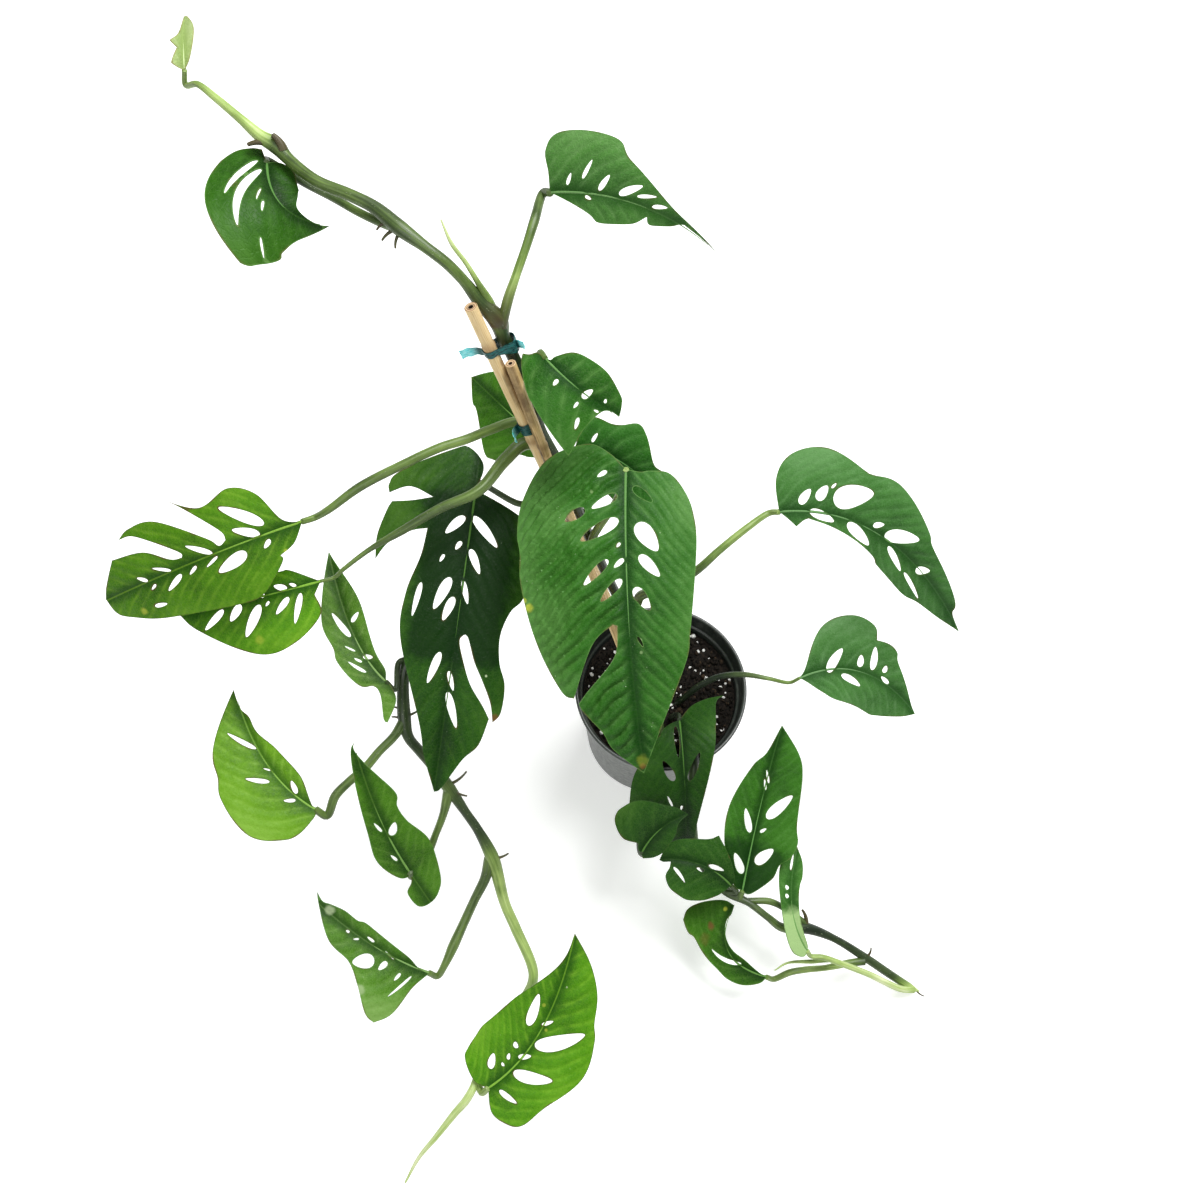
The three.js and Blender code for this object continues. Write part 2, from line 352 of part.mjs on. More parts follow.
      leaf: 'leaf_low_right' },
    { route: [[203, -205, 26.5, 3.6], [190, -207.5, 26, 3.4], [168, -213.5, 25, 2.6],
              [152.1, -216.3, 26.2, 2.9], [136.4, -220.3, 26.9, 2.9]], leaf: 'leaf_low_curled' },
    { route: [[180, -209.5, 25.5, 2.2], [173, -208, 33, 1.6], [152.9, -211.2, 40.3, 2],
              [130.9, -214.8, 44.1, 1], [120, -222, 44, 0.5]] },
    { route: [[251, -223.5, 8.5, 3.2], [238, -224.5, 14.5, 3], [206, -216, 28, 2.8], [175, -210, 42, 2.7],
              [160.5, -208, 50, 2.4]], leaf: 'leaf_folded' },
  ],
  stem_right_lower: [
    { route: [[6, -6, 86, 2.8], [16, -8, 112, 2.9], [22, -6, 124, 2.9], [33, -1, 144, 2.8],
              [48, 3, 160, 2.7], [68, 3, 170, 2.4], [87.9, -0.3, 174.5, 1.8]], leaf: 'leaf_right_lower' },
  ],
  stem_over_rim: [
    { route: [[8, -18, 86, 2.6], [12, -22, 112, 2.6], [13, -27, 134, 2.4]], leaf: 'leaf_over_rim' },
  ],
  stem_under_rim: [
    { route: [[2, -20, 86, 2.2], [4, -30, 112, 2.2], [4, -54, 128, 2.1], [4, -66, 133, 2.1],
              [3, -78, 133.4, 2.1], [0, -89, 124, 2.1], [-3, -98, 110, 2.1], [-6, -111, 94, 2.1],
              [-8, -126, 86, 2.1], [-7, -140, 96, 2.1], [-4, -145, 110, 2.1]],
      leaf: 'leaf_under_rim', foot: [2, -7] },
  ],
};

// Aerial roots and dried leaf scars at the joints of the vines: where each starts and ends, with its radius.
const ROOTS = {
  vine_main: [[[-205, 134, 547], [-213, 128, 543], 1.4], [[-202, 131, 548], [-204, 123, 543], 1.3],
              [[-210, 139, 548], [-217, 134, 545], 1.2], [[-289, 184, 556], [-303, 181, 557], 2.4],
              [[-281, 180, 556], [-287, 185, 563], 3.4]],
  vine_left: [[[-198, -88, 268], [-207, -84, 270], 1.3], [[-196, -89, 268], [-187, -84, 272], 1.2],
              [[-200, -92, 266], [-208, -91, 267], 1.2], [[-162, -130, 233.5], [-150, -120, 238], 1.4],
              [[-162, -132, 232], [-148, -137, 230], 1.3], [[-125.5, -174.5, 188], [-114, -170, 191], 1.4]],
  vine_right: [[[206, -200, 28], [207, -194, 34], 1.2], [[254, -224, 8], [262, -228, 5], 1],
               [[146, -182, 50], [141, -170, 57], 2.2]],
};

// Each tie loops round the long cane, and the upper one round the vine behind it too. at is its height on the
// cane, and drop how much lower it sits at the vine. A flag is a loose end through points to the right and
// behind, in its plane.
const TIES = {
  tie_upper: { at: 484, drop: 8.5, holdsVine: true, widthAtCane: 5, widthAtVine: 10, flagWidth: 6,
    flags: [[[-4.85, 1.2], [-11.7, 5.5], [-20, 6.8]], [[16.8, 7.1], [18.6, 5.7], [21, 3.8]]] },
  tie_lower: { at: 415, drop: 0, holdsVine: false, widthAtCane: 10, widthAtVine: 10, flagWidth: 7,
    flags: [[[-4.9, 0.9], [-9, -3], [-10, -8]]] },
};

// Finishes
function finish(colour, roughness, metalness = 0) {
  return new THREE.MeshStandardMaterial({ color: colour, roughness, metalness });
}

const FINISH = {
  pot: finish(0x1c2622, 0.45),
  soil: finish(0x15110e, 0.95),
  bamboo: finish(0xd8b983, 0.6),
  bambooAged: finish(0xa9804c, 0.65),
  tie: finish(0x0f6a66, 0.35),
  stem: finish(0x4d6a45, 0.5),
  leaf: finish(0x2c6a24, 0.4),
  leafDark: finish(0x1d4a1a, 0.4),
  leafFresh: finish(0x6fae2e, 0.4),
  leafYoung: finish(0xa9c98a, 0.45),
};

const FRESH_LEAVES = ['leaf_left_upper', 'leaf_left_lower', 'leaf_left_round', 'leaf_front'];
const DARK_LEAVES = ['leaf_dark', 'leaf_over_rim', 'leaf_under_rim', 'leaf_low_front'];

function leafFinish(name) {
  if (name === 'leaf_young_tip') return FINISH.leafYoung;
  if (FRESH_LEAVES.includes(name)) return FINISH.leafFresh;
  return DARK_LEAVES.includes(name) ? FINISH.leafDark : FINISH.leaf;
}

// Solids and meshes
function vec(a) {
  return new THREE.Vector3(a[0], a[1], a[2]);
}

function toSolid(geometry) {
  const bare = new THREE.BufferGeometry();
  bare.setAttribute('position', geometry.getAttribute('position').clone());
  if (geometry.index) bare.setIndex(geometry.index.clone());
  const merged = mergeVertices(bare, WELD);
  const position = merged.getAttribute('position').array;
  return new wasm.Manifold(new wasm.Mesh({
    numProp: 3,
    vertProperties: new Float32Array(position),
    triVerts: new Uint32Array(merged.index.array),
  }));
}

function fromSolid(solid) {
  const mesh = solid.getMesh();
  const geometry = new THREE.BufferGeometry();
  geometry.setAttribute('position', new THREE.BufferAttribute(Float32Array.from(mesh.vertProperties), 3));
  geometry.setIndex(Array.from(mesh.triVerts));
  geometry.computeVertexNormals();
  return geometry;
}

// The one body of a cut solid that is worth keeping: its largest
function largest(solid) {
  return solid.decompose().reduce((a, b) => (b.volume() > a.volume() ? b : a));
}

function meshOf(name, geometry, material) {
  const mesh = new THREE.Mesh(geometry, material);
  mesh.name = name;
  return mesh;
}

function geometryOf(positions, faces) {
  const geometry = new THREE.BufferGeometry();
  const flat = positions.flatMap((p) => [p.x, p.y, p.z]);
  geometry.setAttribute('position', new THREE.Float32BufferAttribute(flat, 3));
  geometry.setIndex(faces.flat());
  geometry.computeVertexNormals();
  return geometry;
}

// A round stem along a smooth curve through the route's points, with its radius blended between them.
// extra makes it that much thicker and longer at both ends, for the hole that it stands in.
function stemGeometry(route, extra = 0, sides = STEM_SIDES) {
  const curve = new THREE.CatmullRomCurve3(route.map(vec), false, 'centripetal');
  const steps = Math.max(2, Math.round(curve.getLength() / STEM_STEP), route.length - 1);
  const frames = curve.computeFrenetFrames(steps, false);
  const positions = [];
  const faces = [];
  for (let i = 0; i <= steps; i++) {
    const t = curve.getUtoTmapping(i / steps) * (route.length - 1);
    const k = Math.min(Math.floor(t), route.length - 2);
    const radius = route[k][3] + (route[k + 1][3] - route[k][3]) * (t - k) + extra;
    const past = i === 0 ? -extra : i === steps ? extra : 0;
    const centre = curve.getPointAt(i / steps).addScaledVector(frames.tangents[i], past);
    for (let j = 0; j < sides; j++) {
      const angle = (2 * Math.PI * j) / sides;
      positions.push(centre.clone()
        .addScaledVector(frames.normals[i], radius * Math.cos(angle))
        .addScaledVector(frames.binormals[i], radius * Math.sin(angle)));
    }
    for (let j = 0; i < steps && j < sides; j++) {
      const a = i * sides + j;
      const b = i * sides + ((j + 1) % sides);
      faces.push([a, b, b + sides], [a, b + sides, a + sides]);
    }
  }
  const last = steps * sides;
  for (let j = 1; j < sides - 1; j++) {
    faces.push([0, j + 1, j], [last, last + j, last + j + 1]);
  }
  return geometryOf(positions, faces);
}

// Leaves
function ribLength(leaf) {
  const rib = [];
  for (let i = 0; i <= RIB_STEPS; i++) rib.push(ribPoint(leaf, i / RIB_STEPS, 0).point);
  return rib.slice(1).reduce((sum, p, i) => sum + p.distanceTo(rib[i]), 0);
}

// The midrib is a parabola from base to tip, carried straight on past both ends
function ribPoint(leaf, t, length) {
  const chord = vec(leaf.tip).sub(vec(leaf.base));
  const inside = Math.min(Math.max(t, 0), 1);
  const along = chord.clone().addScaledVector(vec(leaf.bow), 4 * (1 - 2 * inside)).normalize();
  const point = vec(leaf.base).addScaledVector(chord, inside)
    .addScaledVector(vec(leaf.bow), 4 * inside * (1 - inside))
    .addScaledVector(along, (t - inside) * length);
  return { point, along };
}

function leafFrame(leaf, length, v) {
  const t = v / length;
  const { point, along } = ribPoint(leaf, t, length);
  const inside = Math.min(Math.max(t, 0), 1);
  const up = vec(leaf.face[0]).lerp(vec(leaf.face[1]), inside);
  up.addScaledVector(along, -up.dot(along)).normalize();
  const right = new THREE.Vector3().crossVectors(along, up);
  return { point, along, up, right };
}

// Across the midrib each half rises at its fold angle, which the curl turns steadily towards the margin
function leafPoint(leaf, length, u, v) {
  const { point, up, right } = leafFrame(leaf, length, v);
  const angle = THREE.MathUtils.degToRad(leaf.fold + (leaf.curl * Math.abs(u)) / 10);
  return point.addScaledVector(right, u * Math.cos(angle)).addScaledVector(up, Math.abs(u) * Math.sin(angle));
}

function leafNormal(leaf, length, u, v) {
  const h = NORMAL_STEP;
  const across = leafPoint(leaf, length, u + h, v).sub(leafPoint(leaf, length, u - h, v));
  const along = leafPoint(leaf, length, u, v + h).sub(leafPoint(leaf, length, u, v - h));
  return across.cross(along).normalize();
}

// A closed smooth margin through its points, with straight entries at sharp corners
function marginCurve(leaf) {
  const points = [[0, 0, 1], ...leaf.margin];
  const count = points.length;
  const flat = points.map((p) => new THREE.Vector2(p[0], p[1]));
  const sharp = points.map((p) => p[2] === 1);
  const curve = [];
  for (let i = 0; i < count; i++) {
    const b = flat[i];
    const c = flat[(i + 1) % count];
    const chord = c.clone().sub(b);
    const a = sharp[i] ? b.clone().addScaledVector(chord, -0.5) : flat[(i + count - 1) % count];
    const d = sharp[(i + 1) % count] ? c.clone().addScaledVector(chord, 0.5) : flat[(i + 2) % count];
    const turn = Math.abs(c.clone().sub(a).angleTo(d.clone().sub(b)));
    const bulge = (chord.length() * turn) / 8;
    const steps = THREE.MathUtils.clamp(Math.ceil(Math.sqrt(bulge / MARGIN_BULGE)), 1, MARGIN_FACETS);
    for (let k = 0; k < steps; k++) curve.push(catmullRom(a, b, c, d, k / steps));
  }
  return curve;
}

function catmullRom(a, b, c, d, t) {
  const blend = (p, q, r, s) => 0.5 * (2 * q + (r - p) * t + (2 * p - 5 * q + 4 * r - s) * t * t
    + (3 * q - p - 3 * r + s) * t * t * t);
  return new THREE.Vector2(blend(a.x, b.x, c.x, d.x), blend(a.y, b.y, c.y, d.y));
}

// A hole is a drop shape, fuller at the end near the midrib
function holeCurve([across, along, length, width, slant]) {
  const count = length < LONG_HOLE ? HOLE_FACETS.short : HOLE_FACETS.long;
  const angle = THREE.MathUtils.degToRad(slant);
  const outward = Math.sign(across) * Math.sign(Math.sin(angle)) || 1;
  const loop = [];
  for (let k = 0; k < count; k++) {
    const turn = (2 * Math.PI * k) / count;
    const y = (length / 2) * Math.cos(turn);
    const x = (width / 2) * Math.sin(turn) * (1 - HOLE_FULLNESS * outward * Math.cos(turn));
    loop.push(new THREE.Vector2(
      across + x * Math.cos(angle) + y * Math.sin(angle),
      along - x * Math.sin(angle) + y * Math.cos(angle)));
  }
  return loop;
}

function inLoop(p, loop) {
  let inside = false;
  for (let i = 0, j = loop.length - 1; i < loop.length; j = i++) {
    const a = loop[i];
    const b = loop[j];
    const spans = (a.y > p.y) !== (b.y > p.y);
    if (spans && p.x < ((b.x - a.x) * (p.y - a.y)) / (b.y - a.y) + a.x) inside = !inside;
  }
  return inside;
}

function farFrom(p, loop, distance) {
  return loop.every((a, i) => {
    const b = loop[(i + 1) % loop.length];
    const edge = b.clone().sub(a);
    const t = Math.min(1, Math.max(0, p.clone().sub(a).dot(edge) / edge.lengthSq()));
    return a.clone().addScaledVector(edge, t).distanceTo(p) > distance;
  });
}

// Points inside the leaf that let the blade follow its folds: a row on the midrib and rows beside it
function innerPoints(length, margin, holes) {
  const inner = [];
  for (const [across, spacing] of BEND_ROWS) {
    for (let v = FIRST_BEND; v < length; v += spacing) {
      const p = new THREE.Vector2(across, v + (across ? spacing / 2 : 0));
      const onBlade = inLoop(p, margin) && farFrom(p, margin, BEND_CLEAR.margin);
      if (onBlade && holes.every((h) => !inLoop(p, h) && farFrom(p, h, BEND_CLEAR.hole))) inner.push(p);
    }
  }
  return inner;
}

function cross2(a, b, c) {
  return (b.x - a.x) * (c.y - a.y) - (b.y - a.y) * (c.x - a.x);
}

// Flat triangles of a leaf: ears of margin and holes, inner points added, then edges turned to be Delaunay
function flatTriangles(margin, holes, inner) {
  const points = [margin, ...holes].flat();
  const faces = THREE.ShapeUtils.triangulateShape(margin, holes)
    .map(([a, b, c]) => (cross2(points[a], points[b], points[c]) > 0 ? [a, b, c] : [a, c, b]));
  for (const p of inner) {
    const index = points.push(p) - 1;
    const host = faces.findIndex(([a, b, c]) => cross2(points[a], points[b], p) > 0
      && cross2(points[b], points[c], p) > 0 && cross2(points[c], points[a], p) > 0);
    if (host < 0) {
      points.pop();
      continue;
    }
    const [a, b, c] = faces[host];
    faces.splice(host, 1, [a, b, index], [b, c, index], [c, a, index]);
  }
  turnEdges(points, faces);
  return { points, faces };
}

function turnEdges(points, faces) {
  for (let pass = 0, turned = true; turned && pass < MOST_TURN_PASSES; pass++) {
    turned = false;
    const owner = new Map();
    faces.forEach((f, i) => f.forEach((a, k) => owner.set(`${a},${f[(k + 1) % 3]}`, i)));
    const done = new Set();
    for (const [key, i] of owner) {
      const [a, b] = key.split(',').map(Number);
      const j = owner.get(`${b},${a}`);
      if (j === undefined || done.has(i) || done.has(j)) continue;
      const c = faces[i].find((x) => x !== a && x !== b);
      const d = faces[j].find((x) => x !== a && x !== b);
      if (!shouldTurn(points[a], points[b], points[c], points[d])) continue;
      faces[i] = [a, d, c];
      faces[j] = [d, b, c];
      done.add(i).add(j);
      turned = true;
    }
  }
}

function shouldTurn(a, b, c, d) {
  if (cross2(a, d, c) <= TINY_AREA || cross2(d, b, c) <= TINY_AREA) return false;
  const cosC = a.clone().sub(c).normalize().dot(b.clone().sub(c).normalize());
  const cosD = a.clone().sub(d).normalize().dot(b.clone().sub(d).normalize());
  return Math.acos(THREE.MathUtils.clamp(cosC, -1, 1)) + Math.acos(THREE.MathUtils.clamp(cosD, -1, 1))
    > Math.PI + TINY_ANGLE;
}

// The blade: the same triangles on both faces, half a thickness above and below the leaf's surface
function bladeGeometry(leaf) {
  const length = ribLength(leaf);
  const margin = marginCurve(leaf);
  if (THREE.ShapeUtils.isClockWise(margin)) margin.reverse();
  const holes = leaf.holes.filter((h) => h[2] >= SMALLEST_HOLE).map(holeCurve)
    .filter((loop) => loop.every((p) => inLoop(p, margin) && farFrom(p, margin, HOLE_MARGIN)));
  const { points, faces } = flatTriangles(margin, holes, innerPoints(length, margin, holes));
  const top = [];
  const bottom = [];
  for (const p of points) {
    const centre = leafPoint(leaf, length, p.x, p.y);
    const normal = leafNormal(leaf, length, p.x, p.y);
    top.push(centre.clone().addScaledVector(normal, BLADE_THICKNESS / 2));
    bottom.push(centre.clone().addScaledVector(normal, -BLADE_THICKNESS / 2));
  }
  const n = points.length;
  const edges = new Set(faces.flatMap((f) => f.map((a, k) => `${a},${f[(k + 1) % 3]}`)));
  const shell = faces.flatMap(([a, b, c]) => [[a, b, c], [n + a, n + c, n + b]]);
  for (const edge of edges) {
    const [a, b] = edge.split(',').map(Number);
    if (!edges.has(`${b},${a}`)) shell.push([a, n + a, n + b], [a, n + b, b]);
  }
  return geometryOf([...top, ...bottom], shell);
}

// A petiole's last points: it comes up under the blade and ends in the notch at its base
function withFoot({ route, leaf, foot = PETIOLE_FOOT }) {
  if (!leaf) return route;
  const shape = LEAVES[leaf];
  const { point, along, up } = leafFrame(shape, ribLength(shape), 0);
  const radius = route.at(-1)[3];
  const under = point.clone().addScaledVector(along, foot[0]).addScaledVector(up, foot[1]);
  return [...route, [...under.toArray(), radius * PETIOLE_THINS.bend],
    [...point.toArray(), radius * PETIOLE_THINS.end]];
}

function fuse(geometries) {
  return geometries.map(toSolid).reduce((a, b) => a.add(b));
}

function rootGeometry([from, to, radius]) {
  return stemGeometry([[...from, radius], [...to, radius * ROOT.tipShare]], 0, ROOT.sides);
}

function stemNode(name) {
  const shoots = STEMS[name].map((shoot) => stemGeometry(withFoot(shoot)));
  const roots = (ROOTS[name] || []).map(rootGeometry);
  return meshOf(name, fromSolid(fuse([...shoots, ...roots])), FINISH.stem);
}

function notchFor(leafName) {
  const shoot = Object.values(STEMS).flat().find((s) => s.leaf === leafName);
  return toSolid(stemGeometry(withFoot(shoot), GAP));
}

function leafNode(name) {
  const blade = toSolid(bladeGeometry(LEAVES[name]));
  return meshOf(name, fromSolid(largest(blade.subtract(notchFor(name)))), leafFinish(name));
}

// Pot and soil
function potNode() {
  const { height, baseRadius, bodyTopRadius, rimRadius, wall, floor, lip, ledge, bevel, round, step } = POT;
  const shoulder = height - POT.rimHeight;
  const inner = bodyTopRadius - wall;
  const profile = [
    [0, 0], [baseRadius - bevel, 0], [baseRadius, bevel], [bodyTopRadius, shoulder - step],
    [bodyTopRadius + ledge + round, shoulder], [rimRadius, height - bevel], [rimRadius - round, height],
    [rimRadius - lip, height], [rimRadius - lip - step, height - bevel],
    [inner + ledge, shoulder + bevel + step], [inner, shoulder + bevel], [baseRadius - wall, floor],
    [0, floor],
  ].map(([r, z]) => new THREE.Vector2(r, z));
  const shell = new THREE.LatheGeometry(profile, POT.facets).rotateX(Math.PI / 2);
  let solid = toSolid(shell);
  for (let k = 0; k < POT.drains; k++) {
    const angle = (2 * Math.PI * k) / POT.drains;
    const drain = new THREE.CylinderGeometry(POT.drainRadius, POT.drainRadius, floor * 4, POT.drainFacets);
    drain.rotateX(Math.PI / 2);
    drain.translate(POT.drainCircle * Math.cos(angle), POT.drainCircle * Math.sin(angle), 0);
    solid = solid.subtract(toSolid(drain));
  }
  return meshOf('pot', fromSolid(solid), FINISH.pot);
}

function soilHeight(x, y) {
  return SOIL_WAVES.reduce((z, { share, across, along }) => (
    z + SOIL.crumb * share * Math.sin(x * across + share) * Math.cos(y * along)), SOIL.top);
}

function soilNode(holes) {
  const { rings, facets } = SOIL;
  const side = (z) => POT.baseRadius - POT.wall
    + ((POT.bodyTopRadius - POT.baseRadius) * (z - POT.floor)) / (POT.height - POT.rimHeight) - GAP * 1.5;
  const bottom = POT.floor + GAP;
  const edge = SOIL.top - SOIL.edgeDrop;
  const outer = side(edge);
  const positions = [new THREE.Vector3(0, 0, soilHeight(0, 0))];
  const faces = [];
  for (let i = 1; i <= rings + 1; i++) {
    for (let j = 0; j < facets; j++) {
      const angle = (2 * Math.PI * (j + (i % 2) / 2)) / facets;
      const radius = i <= rings ? (outer * i) / rings : side(bottom);
      const x = radius * Math.cos(angle);
      const y = radius * Math.sin(angle);
      const z = i < rings ? soilHeight(x, y) : edge;
      positions.push(new THREE.Vector3(x, y, i <= rings ? z : bottom));
    }
  }
  const at = (i, j) => 1 + (i - 1) * facets + ((j + facets) % facets);
  const foot = positions.push(new THREE.Vector3(0, 0, bottom)) - 1;
  for (let j = 0; j < facets; j++) {
    faces.push([0, at(1, j), at(1, j + 1)], [foot, at(rings + 1, j + 1), at(rings + 1, j)]);
    for (let i = 1; i <= rings; i++) {
      const even = i % 2 === 0;
      const [a, b, c, d] = [at(i, j), at(i, j + 1), at(i + 1, j), at(i + 1, j + 1)];
      if (even) faces.push([a, c, d], [a, d, b]);
      else faces.push([a, c, b], [b, c, d]);
    }
  }
  const bed = toSolid(geometryOf(positions, faces));
  return meshOf('soil', fromSolid(holes.reduce((solid, hole) => solid.subtract(hole), bed)), FINISH.soil);
}

// Canes
function caneProfile(cane, extra) {
  const length = vec(cane.foot).distanceTo(vec(cane.top));
  const profile = [[0, -extra], [cane.radius + extra, -extra]];
  for (let z = CANE_JOINT.first; z < length - CANE_JOINT.belowTop && !extra; z += CANE_JOINT.spacing) {
    profile.push([cane.radius, z - CANE_JOINT.length], [cane.radius + CANE_JOINT.swell, z],
      [cane.radius, z + CANE_JOINT.length]);
  }
  profile.push([cane.radius + extra, length]);
  if (extra) profile.push([0, length]);
  else {
    const inside = length - cane.boreDepth;
    profile.push([cane.bore, length], [cane.bore, inside], [0, inside]);
  }
  return profile.map(([r, z]) => new THREE.Vector2(r, z));
}

// A cane stands on its foot and turns from upright to its own lean
function caneGeometry(cane, extra = 0) {
  const geometry = new THREE.LatheGeometry(caneProfile(cane, extra), CANE_FACETS);
  const lean = vec(cane.top).sub(vec(cane.foot)).normalize();
  const turn = new THREE.Quaternion().setFromUnitVectors(new THREE.Vector3(0, 1, 0), lean);
  return geometry.applyQuaternion(turn).translate(...cane.foot);
}

// Ties
function onLine(from, to, height) {
  const t = (height - from.z) / (to.z - from.z);
  return from.clone().lerp(to, t);
}

// Axes of the plane square to the long cane: right as seen from the front, and behind
function tieFrame(height) {
  const along = vec(CANE_LONG.top).sub(vec(CANE_LONG.foot)).normalize();
  const right = vec(TIE_RIGHT);
  right.addScaledVector(along, -right.dot(along)).normalize();
  const behind = new THREE.Vector3().crossVectors(along, right);
  const origin = onLine(vec(CANE_LONG.foot), vec(CANE_LONG.top), height);
  return { along, right, behind, origin };
}

// What a tie holds, as circles in its plane: the long cane, then the vine where the tie reaches it
function heldBy(tie) {
  const frame = tieFrame(tie.at);
  const circles = [{ x: 0, y: 0, radius: CANE_LONG.radius + TIE_SLACK.cane }];
  if (tie.holdsVine) {
    const lower = frame.origin.clone().addScaledVector(frame.along, -tie.drop);
    const { route } = STEMS.vine_main[0];
    const k = route.findIndex((p) => vec(p).sub(lower).dot(frame.along) > 0);
    const before = vec(route[k - 1]);
    const run = vec(route[k]).sub(before);
    const t = lower.clone().sub(before).dot(frame.along) / run.dot(frame.along);
    const local = before.addScaledVector(run, t).sub(lower);
    const radius = route[k][3] + TIE_SLACK.vine;
    circles.push({ x: local.dot(frame.right), y: local.dot(frame.behind), radius });
  }
  return { frame, circles };
}

// A taut loop round circles: the furthest reach of the circles in each direction
function hullLoop(circles, extra, count) {
  const loop = [];
  for (let k = 0; k < count; k++) {
    const angle = (2 * Math.PI * k) / count;
    const reach = circles.map((c) => c.x * Math.cos(angle) + c.y * Math.sin(angle) + c.radius + extra);
    const c = circles[reach.indexOf(Math.max(...reach))];
    loop.push([c.x + (c.radius + extra) * Math.cos(angle), c.y + (c.radius + extra) * Math.sin(angle)]);
  }
  return loop;
}

function tieNode(name) {
  const tie = TIES[name];
  const { frame, circles } = heldBy(tie);
  const count = TIE_FACETS;
  const inner = hullLoop(circles, 0, count);
  const outer = hullLoop(circles, TIE_WALL, count);
  const last = circles.at(-1);
  const reach = last.x * last.x + last.y * last.y;
  const towardsVine = (x, y) => (reach > 0
    ? THREE.MathUtils.clamp((x * last.x + y * last.y) / reach, 0, 1) : 0);
  const place = (x, y, z) => frame.origin.clone().addScaledVector(frame.right, x)
    .addScaledVector(frame.behind, y).addScaledVector(frame.along, z - tie.drop * towardsVine(x, y));
  const positions = [];
  const faces = [];
  for (let k = 0; k < count; k++) {
    const share = towardsVine(...outer[k]);
    const half = (tie.widthAtCane + (tie.widthAtVine - tie.widthAtCane) * share) / 2;
    positions.push(place(...inner[k], -half), place(...outer[k], -half), place(...outer[k], half),
      place(...inner[k], half));
    for (let i = 0; i < 4; i++) {
      const [a, b] = [4 * k + i, 4 * k + ((i + 1) % 4)];
      const [c, d] = [4 * ((k + 1) % count) + i, 4 * ((k + 1) % count) + ((i + 1) % 4)];
      faces.push([a, c, d], [a, d, b]);
    }
  }
  let solid = toSolid(geometryOf(positions, faces));
  for (const flag of tie.flags) solid = solid.add(toSolid(flagGeometry(flag, tie.flagWidth, place)));
  return meshOf(name, fromSolid(solid), FINISH.tie);
}

// A loose end of tape: a thin strip on edge along three points of the tie's plane
function flagGeometry(points, width, place) {
  const positions = [];
  const faces = [];
  points.forEach(([x, y], i) => {
    const before = points[Math.max(i - 1, 0)];
    const after = points[Math.min(i + 1, points.length - 1)];
    const run = Math.hypot(after[0] - before[0], after[1] - before[1]);
    const dx = (-(after[1] - before[1]) / run) * (TIE_WALL / 2);
    const dy = ((after[0] - before[0]) / run) * (TIE_WALL / 2);
    const half = width / 2;
    positions.push(place(x - dx, y - dy, -half), place(x + dx, y + dy, -half),
      place(x + dx, y + dy, half), place(x - dx, y - dy, half));
    for (let k = 0; k < 4 && i < points.length - 1; k++) {
      const [a, b] = [4 * i + k, 4 * i + ((k + 1) % 4)];
      faces.push([a, b, b + 4], [a, b + 4, a + 4]);
    }
  });
  const last = 4 * (points.length - 1);
  faces.push([0, 3, 2], [0, 2, 1], [last, last + 1, last + 2], [last, last + 2, last + 3]);
  return geometryOf(positions, faces);
}

// The whole plant in its pot
function buildPlant() {
  const stems = Object.keys(STEMS);
  const inSoil = stems.map((name) => toSolid(stemGeometry(withFoot(STEMS[name][0]), GAP)));
  inSoil.push(toSolid(caneGeometry(CANE_LONG, GAP)), toSolid(caneGeometry(CANE_SHORT, GAP)));
  const plant = new THREE.Group();
  plant.add(potNode(), soilNode(inSoil));
  plant.add(meshOf('cane_long', caneGeometry(CANE_LONG), FINISH.bamboo));
  plant.add(meshOf('cane_short', caneGeometry(CANE_SHORT), FINISH.bambooAged));
  Object.keys(TIES).forEach((name) => plant.add(tieNode(name)));
  stems.forEach((name) => plant.add(stemNode(name)));
  Object.keys(LEAVES).forEach((name) => plant.add(leafNode(name)));
  return plant;
}

export default buildPlant();
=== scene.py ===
"""Potted monstera epipremnoides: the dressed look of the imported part, over its own frame.

The tables hold the part's driving sizes in millimetres: the origin is the centre of the pot's base and +Z is
up. Meshes are built in millimetres too, and turned into metres when they become objects.
"""

import logging
import math
from dataclasses import dataclass, field, replace
from enum import Enum
from functools import cached_property, reduce

import bpy
import numpy as np
from mathutils import Matrix, Vector
from mathutils.geometry import delaunay_2d_cdt


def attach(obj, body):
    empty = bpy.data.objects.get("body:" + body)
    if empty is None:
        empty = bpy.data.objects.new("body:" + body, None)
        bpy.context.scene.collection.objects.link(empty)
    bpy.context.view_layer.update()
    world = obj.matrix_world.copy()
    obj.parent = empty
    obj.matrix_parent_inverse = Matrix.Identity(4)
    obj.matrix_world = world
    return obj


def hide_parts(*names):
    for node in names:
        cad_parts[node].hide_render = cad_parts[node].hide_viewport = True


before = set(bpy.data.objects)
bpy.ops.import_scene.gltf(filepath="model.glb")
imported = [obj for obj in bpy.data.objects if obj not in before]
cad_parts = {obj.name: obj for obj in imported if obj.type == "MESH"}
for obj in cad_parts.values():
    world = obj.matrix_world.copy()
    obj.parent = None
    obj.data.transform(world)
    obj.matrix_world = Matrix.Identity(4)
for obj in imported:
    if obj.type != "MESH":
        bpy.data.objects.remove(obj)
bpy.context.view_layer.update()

LOG = logging.getLogger("plant")
METRES = 0.001
Array = np.ndarray
Material = bpy.types.Material
Socket = bpy.types.NodeSocket
Feeds = dict[str, object] | dict[int, object]
Colour = tuple[float, float, float]
Point = tuple[float, float, float]
Rows = tuple[tuple[float, ...], ...]


# Arrays and curves


def unit(vectors: Array) -> Array:
    """Each vector divided by its own length."""
    return vectors / np.linalg.norm(vectors, axis=-1, keepdims=True)


